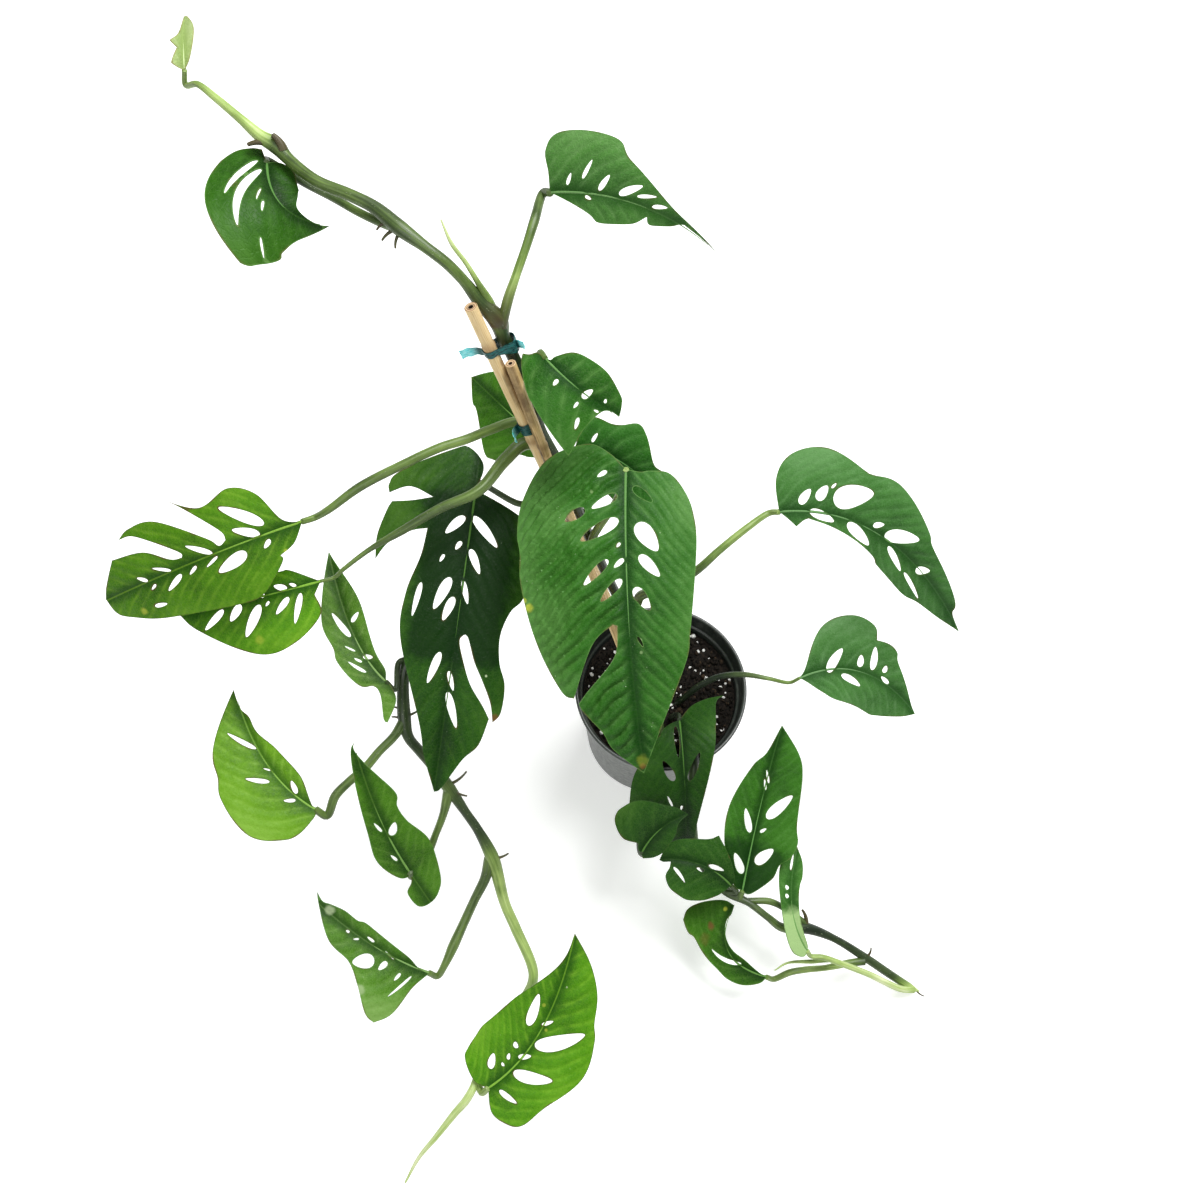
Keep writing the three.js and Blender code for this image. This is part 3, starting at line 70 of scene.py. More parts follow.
def ease(value: Array, low: float, high: float) -> Array:
    """Rises smoothly from 0 at low to 1 at high: 3 t squared minus 2 t cubed of the share t of the way."""
    t = np.clip((value - low) / (high - low), 0, 1)
    return t * t * (3 - 2 * t)


def circle(sides: int) -> Array:
    """Directions evenly round a circle, as rows of cosine and sine."""
    turn = np.linspace(0, 2 * np.pi, sides, endpoint=False)
    return np.stack([np.cos(turn), np.sin(turn)], -1)


def travelled(path: Array) -> Array:
    """How far along a path each of its points lies: the sum of the chords before it."""
    return np.concatenate([[0], np.cumsum(np.linalg.norm(np.diff(path, axis=0), axis=1))])


def spline(a: Array, b: Array, c: Array, d: Array, t: Array) -> Array:
    """Uniform Catmull-Rom curve between b and c at the shares t, a cubic whose slopes at b and c are
    half of c - a and half of d - b."""
    t = t[:, None]
    return 0.5 * (2 * b + (c - a) * t + (2 * a - 5 * b + 4 * c - d) * t ** 2
                  + (3 * b - a - 3 * c + d) * t ** 3)


def centripetal(points: Array, step: float) -> tuple[Array, Array]:
    """Smooth curve through points, whose knots lie apart by the square root of the distance between them.

    Args:
        points: route points, one row each.
        step: about how far apart the curve's points lie.

    Returns:
        The curve's points, and for each its place in the route as a fractional index.
    """
    ends = np.vstack([2 * points[0] - points[1], points, 2 * points[-1] - points[-2]])
    rows, places = [], []
    for k in range(len(points) - 1):
        a, b, c, d = ends[k:k + 4]
        gaps = [max(np.linalg.norm(q - p), 1e-3) for p, q in ((a, b), (b, c), (c, d))]
        t0, t1, t2, t3 = np.cumsum([0.0, *np.sqrt(gaps)])
        count = max(2, int(np.ceil(np.linalg.norm(c - b) / step)))
        t = np.arange(count + (k == len(points) - 2)) / count
        x = (t1 + (t2 - t1) * t)[:, None]
        p1 = (t1 - x) / (t1 - t0) * a + (x - t0) / (t1 - t0) * b
        p2 = (t2 - x) / (t2 - t1) * b + (x - t1) / (t2 - t1) * c
        p3 = (t3 - x) / (t3 - t2) * c + (x - t2) / (t3 - t2) * d
        q1 = (t2 - x) / (t2 - t0) * p1 + (x - t0) / (t2 - t0) * p2
        q2 = (t3 - x) / (t3 - t1) * p2 + (x - t1) / (t3 - t1) * p3
        rows.append((t2 - x) / (t2 - t1) * q1 + (x - t1) / (t2 - t1) * q2)
        places.append(k + t)
    return np.vstack(rows), np.concatenate(places)


def inside_loop(points: Array, loop: Array) -> Array:
    """Whether each flat point lies in a closed loop: it does where a ray to the right crosses an odd number
    of the loop's edges."""
    x, y = points[:, :1], points[:, 1:2]
    ax, ay = loop[:, 0], loop[:, 1]
    bx, by = np.roll(ax, -1), np.roll(ay, -1)
    rise = np.where(by == ay, 1e-12, by - ay)
    crossed = ((ay > y) != (by > y)) & (x < (bx - ax) * (y - ay) / rise + ax)
    return crossed.sum(axis=1) % 2 == 1


def within(points: Array, loops: list[Array]) -> Array:
    """Whether each flat point lies inside the first loop and outside all others."""
    keep = inside_loop(points, loops[0])
    for hole in loops[1:]:
        keep &= ~inside_loop(points, hole)
    return keep


def nearest(points: Array, others: Array) -> Array:
    """Distance from each point to the nearest of the others, a few hundred at a time."""
    parts = [np.sqrt(((block[:, None] - others[None]) ** 2).sum(-1).min(1))
             for block in np.array_split(points, max(1, len(points) // 400))]
    return np.concatenate(parts)


def filled(loops: list[Array], inner: Array) -> tuple[Array, Array]:
    """Flat triangles inside the first loop and outside the others, anticlockwise, with no edge of a loop
    crossed.

    Args:
        loops: the outline, then its holes.
        inner: more points for the triangles' corners.

    Returns:
        The flat points, those of the loops first, and the triangles.
    """
    edges, start = [], 0
    for loop in loops:
        ring = np.arange(len(loop))
        edges.append(np.stack([ring, (ring + 1) % len(loop)], -1) + start)
        start += len(loop)
    joined = delaunay_2d_cdt(np.vstack([*loops, inner]).tolist(), np.vstack(edges).tolist(), [], 0, 1e-6)
    flat = np.array([tuple(p) for p in joined[0]])
    faces = np.array([tuple(f) for f in joined[2]])
    faces = faces[within(flat[faces].mean(1), loops)]
    a, b, c = (flat[faces[:, k]] for k in range(3))
    turned = (b[:, 0] - a[:, 0]) * (c[:, 1] - a[:, 1]) < (b[:, 1] - a[:, 1]) * (c[:, 0] - a[:, 0])
    faces[turned] = faces[turned][:, ::-1]
    return flat, faces


def open_edges(faces: Array, count: int) -> Array:
    """The edges that only one of the faces has, as rows of two of the count point numbers, in that face's
    direction."""
    corners = range(faces.shape[1])
    pairs = np.vstack([faces[:, [k, (k + 1) % len(corners)]] for k in corners])
    code = pairs[:, 0] * count + pairs[:, 1]
    return pairs[~np.isin(pairs[:, 1] * count + pairs[:, 0], code)]


# Surfaces


@dataclass
class Surface:
    """Points in millimetres, the faces between them and values held by each point."""

    points: Array
    faces: list[Array]
    values: dict[str, Array] = field(default_factory=dict)

    @staticmethod
    def joined(parts: "list[Surface]") -> "Surface":
        """One surface of several that hold the same values, with the face numbers moved on."""
        start, faces = 0, []
        for part in parts:
            faces += [f + start for f in part.faces if len(f)]
            start += len(part.points)
        names = parts[0].values
        values = {n: np.concatenate([p.values[n] for p in parts]) for n in names}
        return Surface(np.vstack([p.points for p in parts]), faces, values)

    def make(self, name: str, material: Material, smooth: float | None = 50) -> bpy.types.Object:
        """Turns the surface into an object of the scene.

        Args:
            name: the piece's name.
            material: its finish.
            smooth: the angle in degrees past which an edge stays sharp, or None for flat faces.

        Returns:
            The object, with its place in its mesh.
        """
        mesh = bpy.data.meshes.new(name)
        corners = np.concatenate([f.ravel() for f in self.faces]).astype(np.int32)
        sizes = np.concatenate([np.full(len(f), f.shape[1]) for f in self.faces]).astype(np.int32)
        mesh.vertices.add(len(self.points))
        mesh.vertices.foreach_set("co", (self.points * METRES).astype(np.float32).ravel())
        mesh.loops.add(len(corners))
        mesh.loops.foreach_set("vertex_index", corners)
        mesh.polygons.add(len(sizes))
        mesh.polygons.foreach_set("loop_start", (np.cumsum(sizes) - sizes).astype(np.int32))
        for key, value in self.values.items():
            wide = value.ndim == 2
            store = mesh.attributes.new(key, "FLOAT_VECTOR" if wide else "FLOAT", "POINT")
            store.data.foreach_set("vector" if wide else "value", value.astype(np.float32).ravel())
        mesh.update(calc_edges=True)
        mesh.validate()
        mesh.polygons.foreach_set("use_smooth", np.full(len(mesh.polygons), smooth is not None))
        if smooth is not None:
            mesh.set_sharp_from_angle(angle=math.radians(smooth))
        mesh.materials.append(material)
        piece = bpy.data.objects.new(name, mesh)
        bpy.context.scene.collection.objects.link(piece)
        return piece


def grid_faces(rows: int, columns: int, wrap: bool) -> Array:
    """Four-cornered faces of a grid of points held row by row, the last column joined to the first where
    it wraps."""
    i, j = np.meshgrid(np.arange(rows - 1), np.arange(columns if wrap else columns - 1), indexing="ij")
    a, b = i * columns + j, i * columns + (j + 1) % columns
    return np.stack([a, b, b + columns, a + columns], -1).reshape(-1, 4)


def fan_faces(first: int, columns: int, pole: int, outward: bool) -> Array:
    """Triangles from a closed ring of points to one pole point."""
    j = np.arange(columns)
    a, b = first + j, first + (j + 1) % columns
    ring = (a, b) if outward else (b, a)
    return np.stack([*ring, np.full(columns, pole)], -1)


def tube(path: Array, radii: Array, sides: int) -> Surface:
    """A round tube with closed ends: circles of the given radii, square to the path's run at each point.

    The circles turn from the one direction that the whole path runs along least, so they never twist over.

    Args:
        path: centre points in order.
        radii: the radius at each.
        sides: points round each circle.

    Returns:
        The tube, with the value "skin": millimetres along it, millimetres round it, and the share of the
        path's length.
    """
    run = unit(np.gradient(path, axis=0))
    least = np.linalg.eigh(run.T @ run)[1][:, 0]
    normal = unit(least - (run @ least)[:, None] * run)
    side = np.cross(run, normal)
    way = circle(sides)
    ring = normal[:, None] * way[:, :1] + side[:, None] * way[:, 1:]
    points = (path[:, None] + ring * radii[:, None, None]).reshape(-1, 3)
    count = len(path)
    poles = np.array([path[0] - run[0] * radii[0] * 0.4, path[-1] + run[-1] * radii[-1] * 0.4])
    along = travelled(path)[:, None]
    around = radii.max() * np.linspace(-np.pi, np.pi, sides, endpoint=False)
    skin = np.stack(np.broadcast_arrays(along, around, along / along[-1]), -1).reshape(-1, 3)
    skin = np.vstack([skin, [0, 0, 0], [along[-1, 0], 0, 1]])
    faces = [grid_faces(count, sides, True), fan_faces(0, sides, count * sides, False),
             fan_faces((count - 1) * sides, sides, count * sides + 1, True)]
    return Surface(np.vstack([points, poles]), faces, {"skin": skin})


def lathe(profile: Array, sides: int) -> Surface:
    """A shape turned round the upright axis: each profile point's radius carried round a circle at its
    height. The profile runs so that its left side is outside, and starts and ends on the axis if it is
    closed there.

    Args:
        profile: radius and height of each point.
        sides: points round each circle.

    Returns:
        The turned surface, with the value "skin": distance along the profile, radius and height.
    """
    first, last = profile[0, 0] < 1e-6, profile[-1, 0] < 1e-6
    rings = profile[int(first):len(profile) - int(last)]
    flat = rings[:, None, :1] * circle(sides)
    height = np.broadcast_to(rings[:, None, 1:], (len(rings), sides, 1))
    points = np.concatenate([flat, height], -1).reshape(-1, 3)
    way = travelled(rings)
    skin = np.stack(np.broadcast_arrays(way[:, None], rings[:, :1], height[..., 0]), -1).reshape(-1, 3)
    faces, count = [grid_faces(len(rings), sides, True)], len(points)
    if first:
        points = np.vstack([points, [0, 0, profile[0, 1]]])
        skin = np.vstack([skin, [0, 0, profile[0, 1]]])
        faces.append(fan_faces(0, sides, count, False))
    if last:
        points = np.vstack([points, [0, 0, profile[-1, 1]]])
        skin = np.vstack([skin, [way[-1], 0, profile[-1, 1]]])
        faces.append(fan_faces(count - sides, sides, len(points) - 1, True))
    return Surface(points, faces, {"skin": skin})


def crumb_blob() -> tuple[Array, Array]:
    """A ball of 20 faces: the corners of three golden rectangles, crossed."""
    g = (1 + 5 ** 0.5) / 2
    points = [(x, y * g, 0) for x in (-1, 1) for y in (-1, 1)]
    points += [(0, x, y * g) for x in (-1, 1) for y in (-1, 1)]
    points += [(x * g, 0, y) for x in (-1, 1) for y in (-1, 1)]
    points = unit(np.array(points, float))
    near = np.linalg.norm(points[:, None] - points[None], axis=-1) < 1.1
    a, b, c = np.nonzero(near[:, :, None] & near[None] & near[:, None, :])
    keep = (a < b) & (b < c)
    faces = np.stack([a, b, c], -1)[keep]
    outward = np.einsum("ij,ij->i", np.cross(points[faces[:, 1]] - points[faces[:, 0]],
                                             points[faces[:, 2]] - points[faces[:, 0]]), points[faces[:, 0]])
    faces[outward < 0] = faces[outward < 0][:, ::-1]
    return points, faces


def scattered(centres: Array, sizes: Array, draw: np.random.Generator) -> Surface:
    """Many small lumps: the ball of 20 faces, stretched and turned at random, at each centre."""
    points, faces = crumb_blob()
    count = len(centres)
    stretch = draw.uniform(0.55, 1.25, (count, 1, 3)) * draw.uniform(0.8, 1.2, (count, len(points), 1))
    axes = np.linalg.qr(draw.normal(size=(count, 3, 3)))[0]
    axes *= np.sign(np.linalg.det(axes))[:, None, None]
    lumps = np.einsum("nij,nkj->nki", axes, points[None] * stretch) * sizes[:, None, None]
    lumps += centres[:, None]
    every = faces[None] + np.arange(count)[:, None, None] * len(points)
    values = {"chance": np.repeat(draw.uniform(0, 1, count), len(points))}
    return Surface(lumps.reshape(-1, 3), [every.reshape(-1, 3)], values)


# Shaders


class Shader:
    """Builds one material, with a method for each kind of node. Values passed in are numbers, colours or
    outputs of other nodes."""

    def __init__(self, name: str) -> None:
        """Starts a material that holds only its output and a principled surface."""
        self.material = bpy.data.materials.new(name)
        self.material.use_nodes = True
        self.tree = self.material.node_tree
        self.tree.nodes.clear()
        self.surface = self.node("ShaderNodeBsdfPrincipled")
        output = self.node("ShaderNodeOutputMaterial")
        self.tree.links.new(self.surface.outputs[0], output.inputs["Surface"])

    def node(self, kind: str, feeds: Feeds | None = None, **settings: object) -> bpy.types.Node:
        """Adds a node, gives it its settings and feeds its sockets, by their names or numbers."""
        made = self.tree.nodes.new(kind)
        for key, value in settings.items():
            setattr(made, key, value)
        for key, value in (feeds or {}).items():
            self.feed(made.inputs[key], value)
        return made

    def feed(self, socket: Socket, value: object) -> None:
        """Links an output to a socket, or sets the socket to a number, vector or colour."""
        if isinstance(value, Socket):
            self.tree.links.new(value, socket)
        elif isinstance(value, tuple) and socket.type == "RGBA":
            socket.default_value = (*value[:3], 1.0)
        else:
            socket.default_value = value

    def set(self, **sockets: object) -> None:
        """Feeds the surface's own sockets, named with _ for each space."""
        for key, value in sockets.items():
            self.feed(self.surface.inputs[key.replace("_", " ")], value)

    def held(self, name: str, output: str = "Fac") -> Socket:
        """A value held by the mesh's points, as one number or as a Vector."""
        return self.node("ShaderNodeAttribute", attribute_name=name).outputs[output]

    def place(self) -> Socket:
        """The point's own place on the object, in metres."""
        return self.node("ShaderNodeTexCoord").outputs["Object"]

    def parts(self, vector: Socket) -> list[Socket]:
        """The three numbers of a vector."""
        return list(self.node("ShaderNodeSeparateXYZ", {0: vector}).outputs)

    def vector(self, x: object, y: object, z: object = 0.0) -> Socket:
        """A vector of three numbers."""
        return self.node("ShaderNodeCombineXYZ", {0: x, 1: y, 2: z}).outputs[0]

    def maths(self, operation: str, a: object, b: object = 0.0) -> Socket:
        """The result of one arithmetic step."""
        return self.node("ShaderNodeMath", {0: a, 1: b}, operation=operation).outputs[0]

    def times(self, *factors: object) -> Socket:
        """The product of all its factors."""
        return reduce(lambda a, b: self.maths("MULTIPLY", a, b), factors)

    def plus(self, *terms: object) -> Socket:
        """The sum of all its terms."""
        return reduce(lambda a, b: self.maths("ADD", a, b), terms)

    def fade(self, value: object, low: float, high: float, to: tuple[float, float] = (0.0, 1.0)) -> Socket:
        """Goes smoothly from to[0] at low to to[1] at high."""
        numbers = (high, low, to[1], to[0]) if low > high else (low, high, to[0], to[1])
        feeds = dict(enumerate((value, *numbers)))
        return self.node("ShaderNodeMapRange", feeds, interpolation_type="SMOOTHSTEP").outputs[0]

    def mix(self, share: object, a: object, b: object) -> Socket:
        """Colour a turned towards colour b by a share."""
        return self.node("ShaderNodeMix", {0: share, 6: a, 7: b}, data_type="RGBA").outputs[2]

    def noise(self, where: object, scale: float, detail: float = 2.0, rough: float = 0.5) -> Socket:
        """Cloudy numbers about one half."""
        feeds = {"Vector": where, "Scale": scale, "Detail": detail, "Roughness": rough}
        return self.node("ShaderNodeTexNoise", feeds).outputs["Fac"]

    def cells(self, where: object, scale: float, feature: str = "F1") -> Socket:
        """The distance to the centres of a pattern of cells, or to their edges."""
        feeds = {"Vector": where, "Scale": scale}
        return self.node("ShaderNodeTexVoronoi", feeds, feature=feature).outputs["Distance"]

    def ramp(self, value: object, stops: tuple[tuple[float, Colour], ...]) -> Socket:
        """The colour at a value along a row of colours."""
        made = self.node("ShaderNodeValToRGB", {0: value})
        row = made.color_ramp.elements
        while len(row) < len(stops):
            row.new(1.0)
        for element, (position, colour) in zip(row, stops):
            element.position = position
            element.color = (*colour, 1.0)
        return made.outputs[0]

    def bump(self, height: object, strength: float, distance: float) -> None:
        """Raises the surface's look by a height, in metres times distance."""
        made = self.node("ShaderNodeBump", {"Strength": strength, "Distance": distance, "Height": height})
        self.set(Normal=made.outputs[0])


def dress(piece: bpy.types.Object, slot: str, *nodes: str) -> None:
    """Fixes a piece to the plant's one body and hides the solids it stands for."""
    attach(piece, "root")
    if nodes:
        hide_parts(*nodes)
    LOG.info("%s: %d faces", piece.name, len(piece.data.polygons))


# Leaves


DRIED: Colour = (0.10, 0.055, 0.02)
SPECKLED: Colour = (0.60, 0.70, 0.48)
YELLOWED: Colour = (0.42, 0.48, 0.05)
BROWNED: Colour = (0.13, 0.065, 0.018)
BLEACHED: Colour = (0.45, 0.55, 0.32)
LIGHT: Colour = (0.26, 0.38, 0.16)
PALE_BACK: Colour = (0.36, 0.54, 0.22)


@dataclass(frozen=True)
class Spot:
    """A blemish on a leaf: its place across and along the flat leaf, its radius and its colour."""

    across: float
    along: float
    radius: float
    colour: Colour
    strength: float = 0.85


@dataclass(frozen=True)
class LeafFinish:
    """Colours of a kind of leaf, its material slot, and how waxy it is.

    line and rib say how clearly the side veins and the midrib show, and dry how brown its margin is.
    """

    deep: Colour
    mid: Colour
    vein: Colour
    edge: Colour
    back: Colour
    slot: str = "leaf_green"
    roughness: float = 0.46
    line: float = 0.2
    rib: float = 0.4
    dry: float = 0.5

    def toned(self, red: float, green: float, blue: float) -> "LeafFinish":
        """The same finish with each part of its greens multiplied."""
        by = (red, green, blue)
        deep, mid, vein = (tuple(a * b for a, b in zip(old, by)) for old in (self.deep, self.mid, self.vein))
        return replace(self, deep=deep, mid=mid, vein=vein)

    def veined(self, s: Shader, plane: Socket, aside: Socket, to_vein: Socket) -> tuple[Socket, Socket]:
        """Colours the blade: three greens in soft clouds that brighten towards the margin, with painted shade
        in the fold's valley along the midrib, side veins that come and go, a fine web of veins, and the
        midrib between darker flanks of painted shade.

        Args:
            s: the shader.
            plane: the place on the flat leaf.
            aside: the distance from the midrib.
            to_vein: the distance from the nearest side vein.

        Returns:
            The colour, and the web of veins as 0 to 1.
        """
        clouds = s.noise(plane, 0.022, 3.0, 0.55)
        fine = s.noise(plane, 0.35, 3.0, 0.6)
        # painted shade: the greens lighten with the distance from the midrib, for the shade in the valley of
        # the folded leaf
        light = s.plus(clouds, s.plus(s.times(aside, 0.0075), s.times(fine, 0.3)))
        colour = s.mix(s.fade(light, 0.42, 0.9), self.deep, self.mid)
        colour = s.mix(s.fade(light, 0.78, 1.2, (0.0, 0.5)), colour, self.vein)
        colour = s.mix(s.fade(s.noise(plane, 1.1, 2.0), 0.4, 0.66, (0.0, 0.12)), colour, self.vein)
        broken = s.noise(plane, 0.11, 2.0)
        past_rib = s.fade(aside, 1.2, 3.0)
        pale = s.fade(broken, 0.35, 0.65, (0.2 * self.line, 1.2 * self.line))
        colour = s.mix(s.times(s.fade(to_vein, 3.4, 0.7), pale, past_rib), colour, self.vein)
        pale = s.fade(broken, 0.3, 0.6, (0.3 * self.line, self.line))
        inwards = s.fade(aside, 42.0, 4.0)
        colour = s.mix(s.times(s.fade(to_vein, 0.6, 0.15), inwards, past_rib, pale), colour, self.vein)
        web = s.fade(s.cells(plane, 0.42, "DISTANCE_TO_EDGE"), 0.10, 0.02)
        colour = s.mix(s.times(web, 0.09), colour, self.vein)
        # painted shade: a band along the midrib turns towards the deep green, for the shade in its groove
        colour = s.mix(s.times(s.fade(aside, 8.0, 1.2), 0.65), colour, self.deep)
        return s.mix(s.fade(aside, 0.75, 0.3, (0.0, self.rib)), colour, self.vein), web

    def rimmed(self, s: Shader, plane: Socket, rim: Socket, colour: Socket) -> Socket:
        """Lays the margin over a colour: a thin line of its own, with dry brown stretches."""
        broken = s.noise(plane, 0.16, 2.0)
        line = s.times(s.fade(rim, 0.8, 0.2), s.fade(broken, 0.3, 0.55, (0.2, 0.8)))
        colour = s.mix(line, colour, self.edge)
        dry = s.fade(s.noise(plane, 0.05, 3.0), 0.5, 0.64, (0.0, self.dry))
        return s.mix(s.times(s.fade(rim, 1.3, 0.4), dry), colour, DRIED)

    def material(self, name: str, look: "LeafLook") -> Material:
        """Shades a leaf: the veined blade, painted shade along the middle of a leaf that others overhang, or
        a patch of another colour there, its margin, white specks, its own blemishes, a paler back, and fine
        veins in relief.

        Args:
            name: the material's name.
            look: how the leaf is dressed.

        Returns:
            The material.
        """
        s = Shader(name)
        across, along, rim = s.parts(s.held("flat", "Vector"))
        aside = s.maths("ABSOLUTE", across)
        plane = s.vector(across, along)
        to_vein = s.times(s.maths("PINGPONG", s.held("lateral"), 0.5), look.spacing)
        colour, web = self.veined(s, plane, aside, to_vein)
        ragged = s.noise(plane, 0.12, 3.0)
        # painted shade: the stretch along the midrib turns towards the deep green, for the shadow that the
        # leaves above cast on it; with a colour of its own it is a plain patch of that colour
        if look.shade:
            wide, start, end, strength = look.shade
            inside = s.fade(s.plus(aside, s.times(ragged, 16.0)), wide + 14.0, wide)
            before = s.fade(s.plus(along, s.times(ragged, 14.0)), end + 10.0, end)
            after = s.fade(along, start - 8.0, start + 4.0)
            colour = s.mix(s.times(inside, before, after, strength), colour, look.shade_colour or self.deep)
        colour = self.rimmed(s, plane, rim, colour)
        if look.speckle:
            chosen = s.times(s.fade(s.noise(plane, 0.05, 2.0), 0.58, 0.66), look.speckle)
            colour = s.mix(s.times(s.fade(s.cells(plane, 0.3), 0.11, 0.05), chosen), colour, SPECKLED)
        for spot in look.spots:
            ends = {0: plane, 1: (spot.across, spot.along, 0.0)}
            gap = s.node("ShaderNodeVectorMath", ends, operation="DISTANCE")
            torn = s.plus(gap.outputs["Value"], s.times(ragged, spot.radius * 1.2))
            mask = s.fade(torn, spot.radius * 1.8, spot.radius * 1.0, (0.0, spot.strength))
            colour = s.mix(mask, colour, spot.colour)
        behind = s.mix(s.fade(aside, 1.0, 0.4, (0.0, 0.5)), self.back, self.vein)
        behind = s.mix(s.times(web, 0.18), behind, self.vein)
        colour = s.mix(s.held("under"), colour, behind)
        shine = s.fade(ragged, 0.3, 0.7, (self.roughness - 0.06, self.roughness + 0.08))
        s.set(Base_Color=colour, Roughness=shine, Specular_IOR_Level=0.12)
        grain = s.noise(plane, 0.35, 3.0, 0.6)
        s.bump(s.plus(s.times(web, -0.35), s.times(grain, 0.8)), 0.55, 0.0007)
        return s.material


MATURE = LeafFinish(deep=(0.002, 0.034, 0.001), mid=(0.021, 0.122, 0.008), vein=(0.120, 0.300, 0.075),
                    edge=(0.100, 0.220, 0.050), back=(0.090, 0.210, 0.060), rib=0.04)
PLAIN = replace(MATURE, deep=(0.003, 0.026, 0.0005), mid=(0.031, 0.122, 0.003), vein=(0.130, 0.280, 0.045),
                rib=0.16, line=0.11)
GREYISH = replace(MATURE, deep=(0.009, 0.056, 0.005), mid=(0.045, 0.158, 0.026), vein=(0.160, 0.330, 0.125),
                  rib=0.12, line=0.14)
DEEP = replace(MATURE, deep=(0.0012, 0.016, 0.0004), mid=(0.008, 0.050, 0.0015), vein=(0.070, 0.180, 0.022),
               edge=(0.030, 0.080, 0.015), back=(0.040, 0.110, 0.025), slot="leaf_deep", rib=0.07, line=0.07)
FRESH = replace(MATURE, deep=(0.006, 0.052, 0.0005), mid=(0.058, 0.205, 0.002), vein=(0.230, 0.450, 0.035),
                edge=(0.060, 0.090, 0.012), back=(0.150, 0.300, 0.060), slot="leaf_fresh", rib=0.35, dry=0.8)
BRIGHT = replace(FRESH, deep=(0.016, 0.075, 0.001), mid=(0.112, 0.272, 0.006), vein=(0.270, 0.470, 0.070))
YOUNG = replace(MATURE, deep=(0.240, 0.340, 0.100), mid=(0.430, 0.540, 0.220), vein=(0.560, 0.650, 0.360),
                edge=(0.300, 0.260, 0.100), back=(0.400, 0.500, 0.220), slot="leaf_young")


@dataclass(frozen=True)
class LeafLook:
    """How one leaf is dressed: its finish, and the swell between its side veins in millimetres on its left
    and right half, at their spacing.

    shade is a stretch along the midrib in another colour: how wide it is, where along the leaf it starts and
    ends, and how strong it is. Without a colour of its own it takes the finish's deep green, as painted shade
    such as the shadow that leaves above cast on an overhung leaf; with one it is a patch of that colour.
    """

    finish: LeafFinish = PLAIN
    pleats: tuple[float, float] = (0.5, 0.5)
    spacing: float = 12.0
    wave: float = 0.5
    spots: tuple[Spot, ...] = ()
    speckle: float = 0.0
    shade: tuple[float, float, float, float] | None = None
    shade_colour: Colour | None = None


@dataclass(frozen=True)
class LeafShape:
    """A leaf's midrib, the way its upper face looks at base and tip, and its flat outline and holes.

    A margin point lies across and along the midrib, and a third value of 1 makes it a sharp corner. A hole
    is its centre, its length and width, and its slant.
    """

    base: Point
    tip: Point
    bow: Point
    faces: tuple[Point, Point]
    margin: Rows
    holes: Rows = ()
    fold: float = 6
    curl: float = -3

    @cached_property
    def length(self) -> float:
        """The midrib's length, by 32 chords."""
        return float(travelled(self.rib(np.linspace(0, 1, 33), 0.0)[0])[-1])

    def rib(self, t: Array, length: float) -> tuple[Array, Array]:
        """The midrib, a parabola from base to tip that runs on straight past both ends.

        Args:
            t: shares of the midrib's length.
            length: that length, for the straight ends.

        Returns:
            Its points, and its direction at each.
        """
        base, chord, bow = np.array(self.base, float), np.subtract(self.tip, self.base), np.array(self.bow)
        inside = np.clip(t, 0, 1)[:, None]
        run = unit(chord + bow * 4 * (1 - 2 * inside))
        points = base + chord * inside + bow * 4 * inside * (1 - inside)
        return points + run * (t[:, None] - inside) * length, run

    def surface(self, u: Array, v: Array) -> Array:
        """Points of the leaf's middle layer: the midrib's point at v, then out by u along a line that rises
        at the fold angle plus the curl for each 10 mm."""
        t = v / self.length
        points, run = self.rib(t, self.length)
        inside = np.clip(t, 0, 1)[:, None]
        up = np.array(self.faces[0]) * (1 - inside) + np.array(self.faces[1]) * inside
        up = unit(up - (up * run).sum(1, keepdims=True) * run)
        right = np.cross(run, up)
        angle = np.radians(self.fold + self.curl * np.abs(u) / 10)
        return points + right * (u * np.cos(angle))[:, None] + up * (np.abs(u) * np.sin(angle))[:, None]

    def normals(self, u: Array, v: Array) -> Array:
        """Directions that the upper face looks in, from points half a millimetre to each side."""
        across = self.surface(u + 0.5, v) - self.surface(u - 0.5, v)
        along = self.surface(u, v + 0.5) - self.surface(u, v - 0.5)
        return unit(np.cross(across, along))

    def outline(self, step: float) -> Array:
        """The flat margin: a spline through its points, with straight entries at sharp corners.

        Args:
            step: about how far apart its points lie.

        Returns:
            The closed outline, anticlockwise.
        """
        rows = [(0.0, 0.0, 1.0)] + [(*p, 0.0)[:3] for p in self.margin]
        flat, sharp = np.array(rows)[:, :2], np.array(rows)[:, 2] > 0
        count, pieces = len(flat), []
        for i in range(count):
            b, c = flat[i], flat[(i + 1) % count]
            a = b - (c - b) / 2 if sharp[i] else flat[i - 1]
            d = c + (c - b) / 2 if sharp[(i + 1) % count] else flat[(i + 2) % count]
            steps = max(1, int(round(np.linalg.norm(c - b) / step)))
            pieces.append(spline(a, b, c, d, np.arange(steps) / steps))
        loop = np.vstack(pieces)
        area = np.sum(loop[:, 0] * np.roll(loop[:, 1], -1) - np.roll(loop[:, 0], -1) * loop[:, 1])
        return loop if area > 0 else loop[::-1]

    def hole_loops(self, step: float, margin: Array) -> list[Array]:
        """The holes as drops, fuller at the end near the midrib: an ellipse whose half width is scaled by
        1 minus 0.3 times the share of the way outwards. One that would cut the margin is left out."""
        loops = []
        for across, along, length, width, slant in self.holes:
            cosine, sine = circle(max(10, int(round(2 * length / step)))).T
            angle = math.radians(slant)
            outward = np.sign(across) * np.sign(math.sin(angle)) or 1.0
            y = length / 2 * cosine
            x = width / 2 * sine * (1 - 0.3 * outward * cosine)
            loop = np.stack([across + x * math.cos(angle) + y * math.sin(angle),
                             along - x * math.sin(angle) + y * math.cos(angle)], -1)
            if inside_loop(loop, margin).all() and nearest(loop, margin).min() > 0.5:
                loops.append(loop)
        return loops


